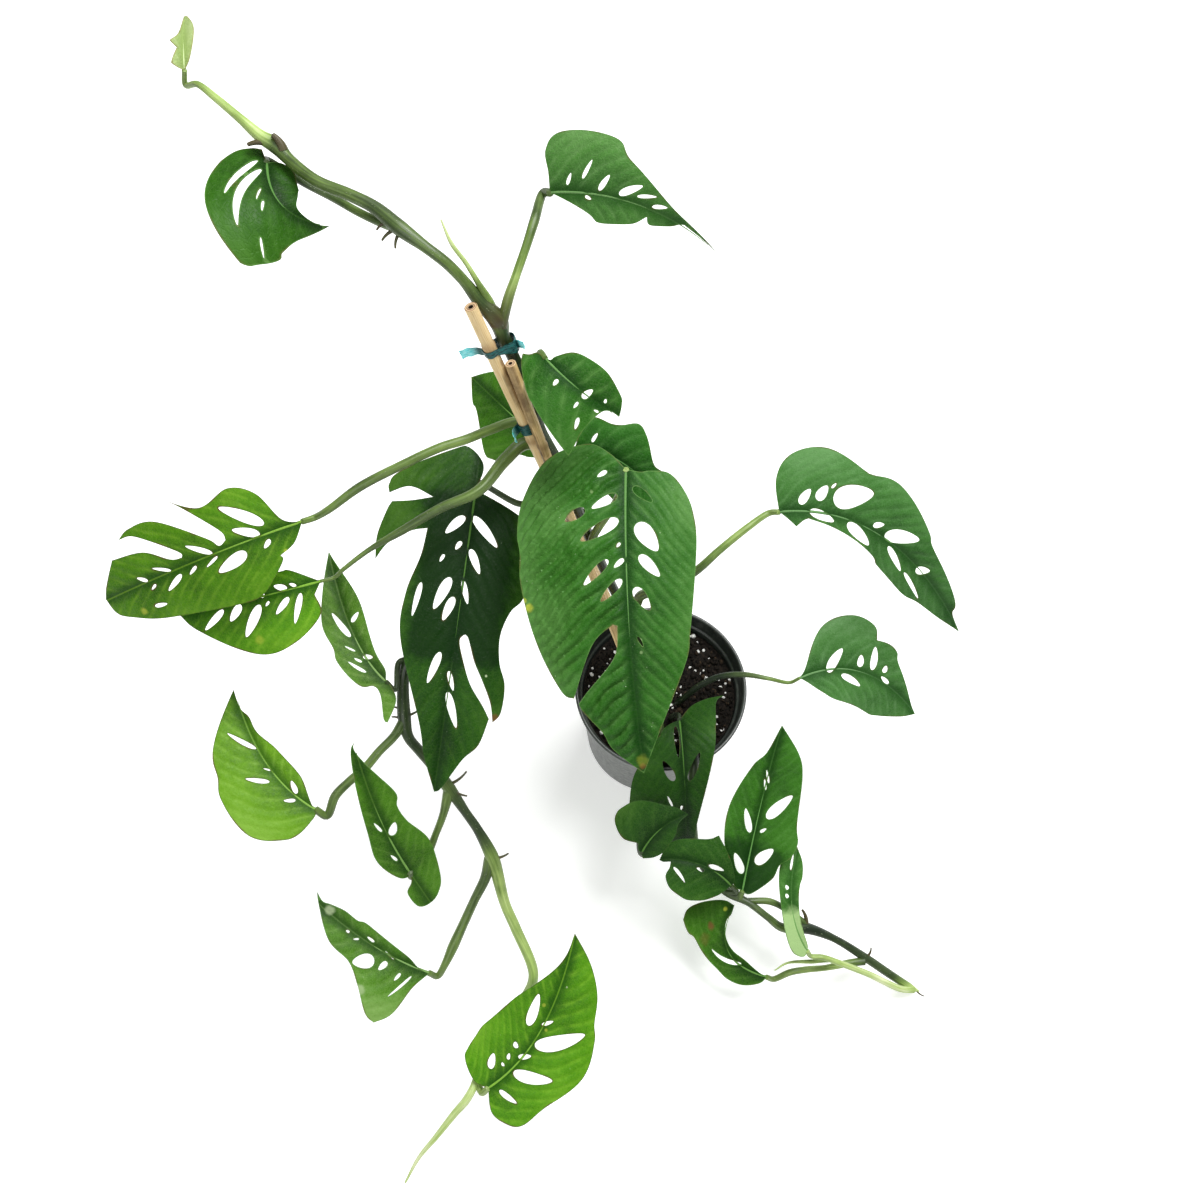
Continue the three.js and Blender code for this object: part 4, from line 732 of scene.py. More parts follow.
@dataclass
class Leaf:
    """One leaf: its blade with a sunken midrib and swollen fields between its side veins, and the ridge of
    the midrib beneath it."""

    name: str
    shape: LeafShape
    look: LeafLook
    step: float = 1.8
    margin_step: float = 1.3
    half_thickness: float = 0.3
    rib_radius: float = 1.3
    groove_depth: float = 0.35
    groove_width: float = 1.3
    midrib_depth: float = 0.5
    midrib_width: float = 1.7

    def side_slopes(self) -> tuple[float, float]:
        """How steeply the side veins run towards the tip on the left and right half: as the holes between
        them do, on average."""
        slopes = []
        for side in (-1, 1):
            own = [(h[2], abs(h[4])) for h in self.shape.holes if h[0] * side > 0 and abs(h[4]) > 8]
            weight = sum(length for length, _ in own)
            mean = sum(length * angle for length, angle in own) / weight if own else 48.0
            slopes.append(1 / math.tan(math.radians(min(max(mean, 34.0), 72.0))))
        return slopes[0], slopes[1]

    def lateral(self, u: Array, v: Array) -> Array:
        """Which side vein a point is at, counted along the midrib: whole numbers are veins. A vein leaves
        the midrib at its slope, bends towards the tip with the square of the distance out, and wanders by
        crossed sine waves."""
        left, right = self.side_slopes()
        slope = np.where(u < 0, left, right)
        widest = max(float(np.abs(u).max()), 30.0)
        start = v - slope * np.abs(u) * 0.85 - 0.3 * u * u / widest
        wander = 0.13 * np.sin(v / 8.3 + u / 14.0) + 0.11 * np.sin(u / 6.1 - v / 21.0)
        return start / self.look.spacing + np.where(u < 0, 0.45, 0.0) + wander * ease(np.abs(u), 2.0, 14.0)

    def relief(self, u: Array, v: Array, rim: Array) -> Array:
        """Height above the middle layer: a swell between side veins with a groove along each, a deeper
        groove along the midrib, and a slow wave towards the margin."""
        phase = self.lateral(u, v)
        off = np.abs(phase - np.round(phase)) * self.look.spacing
        calm = ease(np.abs(u), 1.5, 9.0) * ease(rim, 0.0, 7.0)
        pleat = np.where(u < 0, *self.look.pleats)
        swell = pleat * (0.5 - 0.5 * np.cos(2 * np.pi * phase)) * calm
        groove = -self.groove_depth * pleat * np.exp(-(off / self.groove_width) ** 2) * calm
        midrib = -self.midrib_depth * np.exp(-(u / self.midrib_width) ** 2) * ease(rim, 0.0, 4.0)
        reach = np.abs(u) / max(np.abs(u).max(), 1.0)
        wave = self.look.wave * np.sin(v / 9.5 + 2.1 * np.sign(u)) * reach ** 2
        return swell + groove + midrib + wave

    def flat_mesh(self) -> tuple[Array, Array, Array]:
        """Triangles of the flat leaf: the outline, the holes and a field of points one step apart between
        them, in rows 0.866 of a step apart, so that most triangles have equal sides.

        Returns:
            Flat points, triangles, and each point's distance from the nearest edge.
        """
        margin = self.shape.outline(self.margin_step)
        loops = [margin, *self.shape.hole_loops(self.margin_step, margin)]
        rim = np.vstack(loops)
        low, high = margin.min(0), margin.max(0)
        rows = np.arange(low[1], high[1], self.step * 0.866)
        columns = np.arange(math.floor(low[0] / self.step), math.ceil(high[0] / self.step) + 1) * self.step
        across, along = np.meshgrid(columns, rows)
        across = across + (np.arange(len(rows)) % 2)[:, None] * self.step / 2
        middle = np.stack([np.zeros(len(rows)), rows], -1)
        field_points = np.stack([across.ravel(), along.ravel()], -1)
        field_points = field_points[np.abs(field_points[:, 0]) > self.step * 0.45]
        inner = np.vstack([field_points, middle])
        inner = inner[within(inner, loops)]
        inner = inner[nearest(inner, rim) > self.step * 0.5]
        flat, faces = filled(loops, inner)
        used, number = np.unique(faces, return_inverse=True)
        return flat[used], number.reshape(-1, 3), nearest(flat[used], rim)

    def blade(self) -> Surface:
        """The blade: the flat triangles laid on the leaf's middle layer and lifted by the relief, once for
        each face, with a strip round every edge."""
        flat, faces, rim = self.flat_mesh()
        u, v = flat[:, 0], flat[:, 1]
        normals = self.shape.normals(u, v)
        middle = self.shape.surface(u, v) + normals * self.relief(u, v, rim)[:, None]
        points = np.vstack([middle + normals * self.half_thickness, middle - normals * self.half_thickness])
        count = len(flat)
        a, b = open_edges(faces, count).T
        strip = np.stack([a, a + count, b + count, b], -1)
        values = {"flat": np.tile(np.stack([u, v, rim], -1), (2, 1)),
                  "lateral": np.tile(self.lateral(u, v), 2), "under": np.repeat([0.0, 1.0], count)}
        return Surface(points, [faces, faces[:, ::-1] + count, strip], values)

    def ridge(self) -> Surface:
        """The midrib's ridge under the blade: a tube that thins from the base to a point near the tip."""
        v = np.linspace(0, self.shape.length * 0.93, 40)
        u = np.zeros_like(v)
        sunk = 0.5 + self.half_thickness
        path = self.shape.surface(u, v) - self.shape.normals(u, v) * sunk
        body = tube(path, self.rib_radius * (1 - 0.85 * v / v[-1]), 8)
        count = len(body.points)
        flat = np.stack([np.zeros(count), body.values["skin"][:, 0], np.full(count, 9.0)], -1)
        return Surface(body.points, body.faces, {"flat": flat, "lateral": np.full(count, 0.5),
                                                 "under": np.ones(count)})

    def build(self) -> None:
        """Builds and dresses the leaf."""
        material = self.look.finish.material(f"{self.name}_skin", self.look)
        piece = Surface.joined([self.blade(), self.ridge()]).make(f"{self.name}_blade", material)
        dress(piece, self.look.finish.slot, self.name)


# Stems


@dataclass(frozen=True)
class Shoot:
    """A length of stem: route points with the radius at each, and the leaf that it carries.

    foot is where its last bend lies from the blade's base, along the midrib and above its upper face. tones
    gives how pale it is, from 0 dark to 1 pale, at some route points, partly its own colour and partly
    painted shade where it runs under leaves, and browned gives how brown.
    """

    route: Rows
    leaf: str = ""
    foot: tuple[float, float] = (-9, -5)
    tones: Rows = ((0, 0.45),)
    browned: Rows = ((0, 0),)
    sides: int = 16

    def full_route(self) -> Array:
        """The route with the two points that bring it up under its leaf: one off the blade's base by the
        foot, and the base itself."""
        route = np.array(self.route, float)
        if not self.leaf:
            return route
        shape = LEAVES[self.leaf]
        point, run = shape.rib(np.zeros(1), shape.length)
        up = np.array(shape.faces[0]) - (np.array(shape.faces[0]) @ run[0]) * run[0]
        up = up / np.linalg.norm(up)
        end = route[-1, 3] * 0.8
        under = point[0] + run[0] * self.foot[0] + up * self.foot[1]
        return np.vstack([route, [*under, end * 1.1], [*point[0], end]])

    def surface(self) -> Surface:
        """The shoot as a tube along the smooth curve through its route, with its tones."""
        route = self.full_route()
        path, place = centripetal(route[:, :3], 2.2)
        radii = np.interp(place, np.arange(len(route)), route[:, 3])
        kernel = np.hanning(7) / np.hanning(7).sum()
        radii = np.convolve(np.pad(radii, 3, mode="edge"), kernel, mode="valid")
        body = tube(path, radii, self.sides)
        spread = np.append(np.repeat(place, self.sides), [place[0], place[-1]])
        for key, rows in (("tone", self.tones), ("brown", self.browned)):
            body.values[key] = np.interp(spread, *np.array(rows).T)
        return body


@dataclass(frozen=True)
class StemFinish:
    """Colours of a stem from dark to pale, and of its brown joints."""

    dark: Colour = (0.008, 0.018, 0.006)
    dull: Colour = (0.042, 0.074, 0.016)
    green: Colour = (0.125, 0.205, 0.038)
    pale: Colour = (0.360, 0.490, 0.140)
    white: Colour = (0.660, 0.720, 0.420)
    brown: Colour = (0.060, 0.026, 0.012)
    fleck: Colour = (0.260, 0.320, 0.170)
    roughness: float = 0.42

    def material(self, name: str) -> Material:
        """Shades a stem: its tone along a row of greens, which holds painted shade as well as its own colour,
        long streaks, pale flecks and brown joints.
        """
        s = Shader(name)
        along, around, _ = s.parts(s.held("skin", "Vector"))
        where = s.place()
        patch = s.noise(where, 60.0, 3.0)
        streaks = s.noise(s.vector(s.times(along, 0.035), s.times(around, 0.5)), 1.0, 3.0)
        # the tone holds the stem's own colour and painted shade where it runs under leaves
        shifted = s.plus(s.held("tone"), s.times(s.maths("SUBTRACT", patch, 0.5), 0.36))
        shifted = s.plus(shifted, s.times(s.maths("SUBTRACT", streaks, 0.5), 0.5))
        colour = s.ramp(shifted, ((0.0, self.dark), (0.3, self.dull), (0.55, self.green), (0.8, self.pale),
                                  (1.0, self.white)))
        skin = s.vector(s.times(along, 0.5), around)
        chosen = s.fade(s.noise(skin, 0.35, 1.0), 0.5, 0.6)
        dot = s.times(s.fade(s.cells(skin, 0.75), 0.3, 0.12), chosen, 0.5)
        colour = s.mix(dot, colour, self.fleck)
        rust = s.times(s.held("brown"), s.fade(patch, 0.3, 0.6, (0.55, 1.0)))
        colour = s.mix(rust, colour, self.brown)
        shine = s.fade(patch, 0.3, 0.7, (self.roughness - 0.06, self.roughness + 0.1))
        s.set(Base_Color=colour, Roughness=shine)
        s.bump(s.plus(streaks, s.times(dot, 0.8)), 0.5, 0.0005)
        return s.material


@dataclass
class Stem:
    """A vine or a single stalk with all its shoots and the aerial roots at its joints."""

    name: str
    shoots: tuple[Shoot, ...]
    roots: tuple[tuple[Point, Point, float], ...] = ()

    def root_surface(self, start: Point, end: Point, radius: float) -> Surface:
        """An aerial root: a short tube with a slight bend, thinning to half its radius."""
        a, b = np.array(start, float), np.array(end, float)
        t = np.linspace(0, 1, 9)
        bend = unit(np.cross(b - a, (0.3, -0.8, 0.5))) * np.linalg.norm(b - a) * 0.1
        path = a + (b - a) * t[:, None] + bend * (4 * t * (1 - t))[:, None]
        body = tube(path, radius * (1 - 0.5 * t), 10)
        body.values["tone"] = np.full(len(body.points), 0.35)
        body.values["brown"] = np.full(len(body.points), 0.75)
        return body

    def build(self) -> None:
        """Builds and dresses the stem."""
        parts = [shoot.surface() for shoot in self.shoots] + [self.root_surface(*root) for root in self.roots]
        piece = Surface.joined(parts).make(f"{self.name}_skin", StemFinish().material(f"{self.name}_green"))
        dress(piece, "stem", self.name)


LEAVES = {
    "leaf_top_left": LeafShape(
        base=(-292, 176, 548), tip=(-254, 154, 520), bow=(-4, -19, 11),
        faces=((0.15, 0.18, 0.97), (0.85, -0.36, 0.38)),
        margin=((3, -12, 1), (10, -12), (22, -6), (41, 18), (48, 38, 1), (46, 40), (41, 42), (31, 47),
                (26, 47), (14, 53), (0, 72, 1), (0, 63), (-5, 47), (-15, 40), (-17, 12), (-15, 4),
                (-8, 0)),
        holes=((17.5, 9, 31.5, 3.5, 50), (18.5, 18, 39.5, 4.5, 49), (10, 22, 9, 1, 45), (12, 29, 7, 1.5, 52),
               (32, 40, 10, 1, 64))),
    "leaf_top_right": LeafShape(
        base=(-114, 179, 540), tip=(-2, 179, 495), bow=(2, -9, 28),
        faces=((-0.5, -0.62, 0.61), (0.59, -0.78, 0.23)),
        margin=((-12, 0), (-26, -2), (-36, 8), (-35, 42), (-24, 54), (-7, 90), (0, 137, 1), (-1, 109),
                (-1, 102), (4, 95), (9, 81), (5, 76, 1), (13, 66), (17, 40), (12, 29)),
        holes=((-8, 14.5, 8, 2.5, -66), (-14.5, 27, 13, 2.5, -63), (-8, 39, 12, 3.5, -60),
               (-7.5, 57.5, 16.5, 5, -34), (-7, 69.5, 13, 2.5, -18), (-4, 81, 10.5, 3, -18),
               (2.5, 28.5, 5, 2, 17))),
    "leaf_stake_top": LeafShape(
        base=(-110, 103, 468), tip=(-58, 79, 442), bow=(-3, -5, 7),
        faces=((-0.29, -0.25, 0.93), (0.46, -0.64, 0.61)), fold=8,
        margin=((1, -7), (6, -10), (9, -14, 1), (15, -8), (25, 10), (28, 19), (40, 53, 1), (20, 51), (5, 54),
                (0, 59), (0, 66, 1), (-8, 63), (-13, 59), (-20, 44), (-20, 27), (-16, 13), (-6, 5),
                (-2, 4)),
        holes=((6.5, 18.5, 5, 3, 85), (-1, 40.5, 9, 4.5, -72), (9.5, 38.5, 5, 2, -87), (-4, 53, 3, 2, 65),
               (5, 51.5, 3.5, 1.5, -11), (19, 45.5, 8, 2.5, 73))),
    "leaf_behind_stake": LeafShape(
        base=(-122, 105, 368), tip=(-173, 158, 352), bow=(4, -8, 8),
        faces=((0.05, -0.49, 0.87), (-0.54, 0.05, 0.84)),
        margin=((-4, -13), (-11, -16, 1), (-15, -11), (-19, -4), (-29, -1), (-34, 13), (-34, 25), (-16, 54),
                (-13, 62), (0, 77, 1), (14, 67), (20, 57), (21, 43), (14, 10), (9, -2, 1))),
    "leaf_behind_big": LeafShape(
        base=(-77, 103, 352), tip=(-11, 78, 315), bow=(-2, 4, 12),
        faces=((-0.21, -0.47, 0.86), (0.3, -0.73, 0.62)),
        margin=((2, -6), (-1, -12, 1), (-18, -8), (-25, -1), (-23, 12), (-25, 20), (-31, 29), (-27, 37),
                (-14, 52), (-14, 61), (-12, 71), (-7, 79), (0, 83), (15, 81), (24, 70), (27, 51), (23, 25),
                (13, 3), (6, -4, 1)),
        holes=((-10, 2.5, 8, 3, -62), (15, 21, 12, 6, -35))),
    "leaf_big": LeafShape(
        base=(-50, 62, 401.6), tip=(-18.2, -131, 312.6), bow=(-5, -7, 19),
        faces=((-0.04, -0.08, 1), (0.06, -0.68, 0.73)), fold=4, curl=-1.6,
        margin=((13, -13), (29, -19), (56, -8), (73, 21), (76, 44), (74, 59), (74, 83), (63, 127), (50, 156),
                (42, 161, 1), (26, 125), (11, 112, 1), (8, 113, 1), (12, 135), (35, 160), (38, 168),
                (25, 186), (19, 199), (0, 219, 1), (-35, 148), (-42, 120), (-49, 60), (-47, 31), (-40, 13),
                (-30, 2), (-17, 1), (-10, 2)),
        holes=((16.5, 4, 8, 3.5, 55), (14.5, 24.5, 20, 6.5, 61), (35, 34, 16, 7, 58), (18, 45, 30, 9, 60),
               (5, 69, 9, 3.5, 48), (21, 75, 24, 6, 45), (11, 88, 21, 6, 45), (-12, 19, 17, 6, -50),
               (-15, 50.5, 24.5, 12, -33), (-16, 71.5, 20.5, 7.5, -40), (-10, 95, 19, 8, -30),
               (-7, 125, 8, 2, -25), (5, 56, 4, 2, 37))),
    "leaf_dark": LeafShape(
        base=(-159, 65, 345), tip=(-168, -147, 275), bow=(2, 10, 15),
        faces=((0.12, -0.07, 0.99), (0.11, -0.46, 0.88)), curl=-2,
        margin=((-4, -17), (0, -27), (10, -34), (19, -31), (57, -9), (64, 2), (63, 11, 1), (48, 4),
                (30, 13, 1), (45, 18), (60, 20, 1), (63, 29), (67, 53), (66, 73, 1), (58, 59), (43, 47),
                (31, 43, 1), (33, 67), (40, 98), (39, 132), (17, 186), (11, 204), (0, 225, 1), (-5, 222),
                (-17, 204), (-27, 194), (-32, 177, 1), (-26, 169), (-15, 156), (-7.6, 140.5), (-3.5, 129),
                (-4.5, 124.5), (-8.5, 124), (-15.7, 140.5), (-23.5, 153), (-31.5, 167), (-35, 179, 1),
                (-40, 172), (-40, 154), (-34, 139), (-32, 120), (-37, 102), (-45, 90), (-46, 66), (-42, 41),
                (-36, 23), (-29, 16)),
        holes=((11.5, 36.5, 21.5, 7, 33), (-11, 39, 32.5, 7.5, -38), (7, 54.5, 8.5, 3.5, 23),
               (-6.5, 66, 21.5, 5.5, -24), (17.5, 67, 7, 2.5, 20), (14, 94.5, 27, 7.5, 19),
               (-2.5, 91.5, 18.5, 4, -18), (8, 105.5, 19, 6, 17), (31.5, 101.5, 26, 4, 7),
               (12.5, 148, 22.5, 5.5, 16), (-1, 155.5, 13.5, 3.5, -23), (-4.5, 174, 24, 5.5, -24))),
    "leaf_left_upper": LeafShape(
        base=(-268, 3, 395), tip=(-410, -40, 330), bow=(8, -4, 18),
        faces=((0.25, -0.41, 0.88), (-0.38, -0.68, 0.63)), fold=5, curl=-2.5,
        margin=((6, 16), (28, 29), (38, 49), (33, 76), (51, 105, 1), (39, 90), (14, 67), (6, 65, 1), (4, 72),
                (12, 79), (36, 111), (39, 132), (35, 142, 1), (32, 129), (11, 103), (6, 102, 1), (8, 111),
                (20, 128), (24, 152, 1), (1, 172, 1), (-11, 168), (-19, 157), (-29, 133), (-39, 78),
                (-38, 55), (-22, 29), (-17, 28, 1), (-12, 13)),
        holes=((17.5, 46, 36, 8, 35), (6, 47.5, 21.5, 6, 25), (6.5, 87.5, 20.5, 4, 34),
               (-6.5, 35, 8.5, 3.5, -29), (-10, 67, 27.5, 8.5, -12), (-4.5, 82, 12, 2, -20),
               (-5, 98.5, 8.5, 2.5, -26), (-8, 115.5, 16.5, 4, -25), (4, 120.5, 14, 2.5, 28),
               (3, 137.5, 8.5, 3, 37), (-18.5, 133.5, 10, 3, 9), (-5, 132, 5.5, 2, -24))),
    "leaf_left_lower": LeafShape(
        base=(-259, -21, 350), tip=(-362, -46, 322), bow=(2, -3, 6),
        faces=((0.11, -0.42, 0.9), (-0.31, -0.51, 0.8)),
        margin=((13, 20), (14, 28), (15, 59), (6, 96), (0, 110, 1), (-14, 98), (-40, 61), (-38, 32),
                (-23, 7), (-8, 7, 1)),
        holes=((3, 30.5, 10, 4.5, 24), (1, 46, 5.5, 4, 7), (-6, 43, 4.5, 2, -38),
               (-10, 32.5, 15.5, 4.5, -37), (-14.5, 22, 22.5, 4.5, -62), (-15.5, 57, 26, 7, -50),
               (-7, 68, 14.5, 6, -43), (-8.5, 85, 20.5, 5, -33), (2.5, 21, 5.5, 2.5, 31),
               (1, 56, 5, 1.5, 4))),
    "leaf_hanging_left": LeafShape(
        base=(-212, -72, 292), tip=(-268, 23, 305), bow=(-1, -14, 2),
        faces=((0.13, -0.29, 0.95), (0.08, -0.01, 1)), fold=14, curl=-2,
        margin=((6, 10), (8, 30), (13, 77), (0, 113, 1), (-11, 90), (-19, 68), (-18, 50), (-20, 39),
                (-16, 14), (-9, 6), (-10, -3), (-22, -17), (-22, -21, 1), (-6, -15), (0, -5)),
        holes=((-6, 63.5, 21.5, 4.5, -17), (6, 66, 9, 3.5, 55), (-7, 44.5, 9, 1.5, -36),
               (-9.5, 28, 17, 2.5, -23), (-6, 33, 7, 2, -28), (1.5, 31, 8, 4, -44))),
    "leaf_left_round": LeafShape(
        base=(-256, -162, 250), tip=(-330, -78, 262), bow=(-4, -12, 2),
        faces=((0.14, -0.18, 0.97), (0.14, 0.03, 0.99)), fold=14, curl=-2,
        margin=((1, 4), (13, 29), (12, 61), (5, 82), (4, 94), (0, 102), (-1, 115, 1), (-29, 82), (-35, 65),
                (-41, 53), (-43, 26), (-31, 8), (-21, 1), (-5, -2)),
        holes=((-8, 79.5, 22.5, 3.5, -39), (-2, 52.5, 6.5, 1.5, -39), (-12.5, 49.5, 17, 3.5, -47),
               (4, 27, 12, 4, 19), (-5.5, 22, 9, 3, -40))),
    "leaf_twisted": LeafShape(
        base=(-185, -196, 220), tip=(-227, -122, 300), bow=(-2, -5, 2),
        faces=((0.49, -0.58, 0.64), (0.28, -0.52, 0.81)), fold=8, curl=-2,
        margin=((-3, -9), (-10, -15), (-9, -31), (0, -36), (10, -31), (18, -18), (25, 16), (17, 44),
                (15, 59), (17, 72), (0, 108), (0, 117, 1), (-5, 106), (-12, 52), (-16, 25), (-9, 2),
                (-1, -4, 1)),
        holes=((5.5, 42, 11.5, 6, 33), (-4, 49, 10, 2, -15), (-4, 19, 8, 2, -15))),
    "leaf_low_left": LeafShape(
        base=(-168, -260, 146), tip=(-257, -219, 178), bow=(1, -6, 3),
        faces=((0.42, -0.17, 0.89), (0.14, -0.11, 0.98)), fold=14, curl=-2,
        margin=((1, 11), (6, 26), (11, 64), (9, 74), (9, 86), (6, 97), (3.6, 103), (6, 111, 1), (0, 104),
                (-16, 82), (-20, 62), (-31, 48), (-46, 34), (-49, 26, 1), (-38, 17), (-15, 10)),
        holes=((-13.8, 53, 16.5, 10.5, -38), (-9.5, 38.5, 9, 4.5, -68), (-12, 24.5, 7.5, 2.5, -69),
               (-17.5, 19.5, 23.5, 2, -62), (3, 57, 7, 2, 5), (0, 37.5, 9.5, 1, 15), (-2, 75, 3, 2, -10),
               (-3, 66.5, 4.5, 1.5, -38))),
    "leaf_front": LeafShape(
        base=(-114, -339, 112), tip=(-57, -226, 185), bow=(9, -12, -7),
        faces=((-0.27, -0.27, 0.92), (-0.06, -0.53, 0.85)), curl=-2.5,
        margin=((-10, -7), (-27, -6), (-34, 0), (-38, 20), (-39, 45), (-29, 89), (-5, 129), (0, 150, 1),
                (17, 134), (29, 116), (35, 97), (41, 86), (47, 61), (39, 29), (38, 8), (31, -1),
                (17, -7)),
        holes=((-12, 86.5, 29, 7.5, -6), (2, 82.5, 10, 3, 42), (17, 74, 40, 11.5, 47),
               (-10, 50, 6, 4.5, -32), (-8.5, 36.5, 6.5, 3, -21), (1, 47, 11.5, 4.5, 38),
               (-15, 19.5, 16, 6.5, -23), (16, 38, 32, 10, 55), (14, 11.5, 17, 5, 68),
               (-7.5, 26.5, 3.5, 3, -50))),
    "leaf_right_upper": LeafShape(
        base=(73, 90, 305), tip=(236, 36, 225), bow=(1, 14, 37),
        faces=((-0.31, -0.47, 0.83), (0.12, -0.85, 0.5)), curl=-2.5,
        margin=((-26, 0), (-44, 11), (-50, 35), (-40, 63), (-39, 70), (-41, 89), (-26, 126), (-19, 139),
                (-9, 182), (-2, 191), (0, 206, 1), (10, 188), (17, 169), (23, 153), (21, 118), (16, 102),
                (7, 37), (6, 26), (12, 16, 1)),
        holes=((-11.5, 23, 14.5, 7, -54), (-15.5, 37, 13.5, 8, -62), (-18.5, 61.5, 31.5, 17.5, -29),
               (2, 40.5, 25, 7, 12), (7, 81, 31, 8, 16), (-6.5, 92, 9, 5, -34), (7.5, 124, 26.5, 4.5, 18),
               (-9, 114, 27.5, 11.5, -30), (12.5, 153, 27, 3, 10), (-1.5, 148, 11, 7, -49),
               (-22.5, 45, 5, 2, -57))),
    "leaf_right_lower": LeafShape(
        base=(114, 2, 176), tip=(220, -10, 145), bow=(0, 16, 16),
        faces=((-0.12, -0.32, 0.94), (0.14, -0.69, 0.71)), curl=-2.5,
        margin=((-8, 9), (-37, 27), (-46, 45), (-41, 59), (-30, 63, 1), (-31, 72), (-28, 79), (-20, 85),
                (-4, 111), (0, 122, 1), (12, 116), (25, 103), (30, 88), (27, 37), (17, 15)),
        holes=((-7.5, 33, 23.5, 8, -56), (-9, 56, 10.5, 5.5, 80), (-14.5, 66, 20, 5.5, 75),
               (-10.5, 78, 6.5, 4, 76), (8.5, 52, 25, 5.5, 15), (-2.5, 83.5, 9.5, 3.5, 12))),
    "leaf_over_rim": LeafShape(
        base=(16, -38, 156), tip=(34, -130, 80), bow=(-1, -3, 28),
        faces=((-0.17, 0.27, 0.95), (0.01, -0.92, 0.4)), curl=-2,
        margin=((-11, -12), (-24, -18), (-40, -21, 1), (-33, -14), (-30, 11), (-26, 41), (-11, 102),
                (-7, 122), (0, 133), (16, 132), (36, 124), (47, 109), (48, 91), (41, 57), (18, 16),
                (11, 6)),
        holes=((4, 25, 36, 4, 0), (13, 56, 23, 7, -20), (-9, 53, 30, 6, 20), (13, 87, 11, 2, -20),
               (3.5, 93.5, 4.5, 2, 8))),
    "leaf_under_rim": LeafShape(
        base=(-7, -147, 124), tip=(29, -114, 138), bow=(-4, 3, 3),
        faces=((-0.16, -0.44, 0.89), (0.03, -0.19, 0.98)), fold=5,
        margin=((-4, 2), (-6, 6, 1), (-19, 3), (-32, 8), (-36, 13), (-35, 18), (-30, 27), (-15, 39),
                (-10, 45), (0, 53, 1), (4, 43), (12, 33), (15, 14), (11, 3), (3, -3, 1))),
    "leaf_low_front": LeafShape(
        base=(74, -160, 86), tip=(10, -145, 95), bow=(3, 7, 4),
        faces=((0.11, -0.39, 0.91), (-0.05, -0.2, 0.98)), fold=8, curl=-2,
        margin=((-15, 3), (-27, 14), (-32, 38), (-26, 59), (-15, 65), (-7, 61), (-2, 60, 1), (-2, 66),
                (0, 69, 1), (15, 59), (22, 36), (29, 29, 1), (24, 24), (7, 3)),
        holes=((-12.5, 51, 17.5, 3, 42), (-4, 32, 8, 3, 0), (3.5, 20, 14, 4, -15))),
    "leaf_low_right": LeafShape(
        base=(85, -162, 78), tip=(106, -29, 140), bow=(-1, 6, 3),
        faces=((-0.16, -0.41, 0.9), (-0.17, -0.38, 0.91)), fold=12, curl=-2,
        margin=((-10, 5), (-24, 35), (-26, 65), (-15, 102), (-6, 118), (0, 148, 1), (21, 125), (29, 104),
                (34, 62), (38, 47), (35, 34), (27, 26), (23, 14), (7, -1)),
        holes=((-0.5, 88.5, 9.5, 2, -20), (0, 96, 12, 2, -23), (16, 73, 30, 9, 34), (-8, 55, 20.5, 5.5, -24),
               (7, 50, 6.5, 2.5, 47), (12.5, 30, 19, 8.5, 42), (-8, 20, 17.5, 6.5, -35))),
    "leaf_folded": LeafShape(
        base=(146, -205, 58), tip=(131, -121, 84), bow=(-10, -7, 5),
        faces=((0.14, -0.53, 0.83), (-0.13, -0.03, 0.99)), fold=10, curl=4,
        margin=((-5, -2), (-10, 3), (-12, 12), (-10, 45), (-12, 77), (-8, 85), (0, 94, 1), (7, 84), (9, 72),
                (7, 60), (4, 11)),
        holes=((-2, 82, 12, 2, 0), (-4, 62, 4, 3, -35), (-4, 55, 4, 3, -30))),
    "leaf_low_curled": LeafShape(
        base=(116, -226, 26), tip=(82, -170, 52), bow=(-20, -10, 1),
        faces=((0.23, -0.19, 0.95), (-0.12, -0.17, 0.98)), fold=8, curl=2,
        margin=((-7, 4), (-14, 15), (-17, 27), (-18, 39), (-27, 57), (-34, 61), (-40, 67, 1), (-36, 74),
                (-12, 85), (0, 86, 1), (1, 79), (-1, 70), (4, 41), (6, 21)),
        holes=((-6, 36.5, 30.5, 3.5, -30),)),
    "leaf_young_tip": LeafShape(
        base=(-350, 228, 566), tip=(-362, 277, 562), bow=(3, -8, 6),
        faces=((0.32, -0.68, 0.66), (0.19, 0.37, 0.91)), fold=35, curl=6,
        margin=((-10, 5, 1), (-5, 20, 1), (-11, 21, 1), (-4, 34), (0, 52, 1), (3, 51), (8, 37), (5, 14))),
}

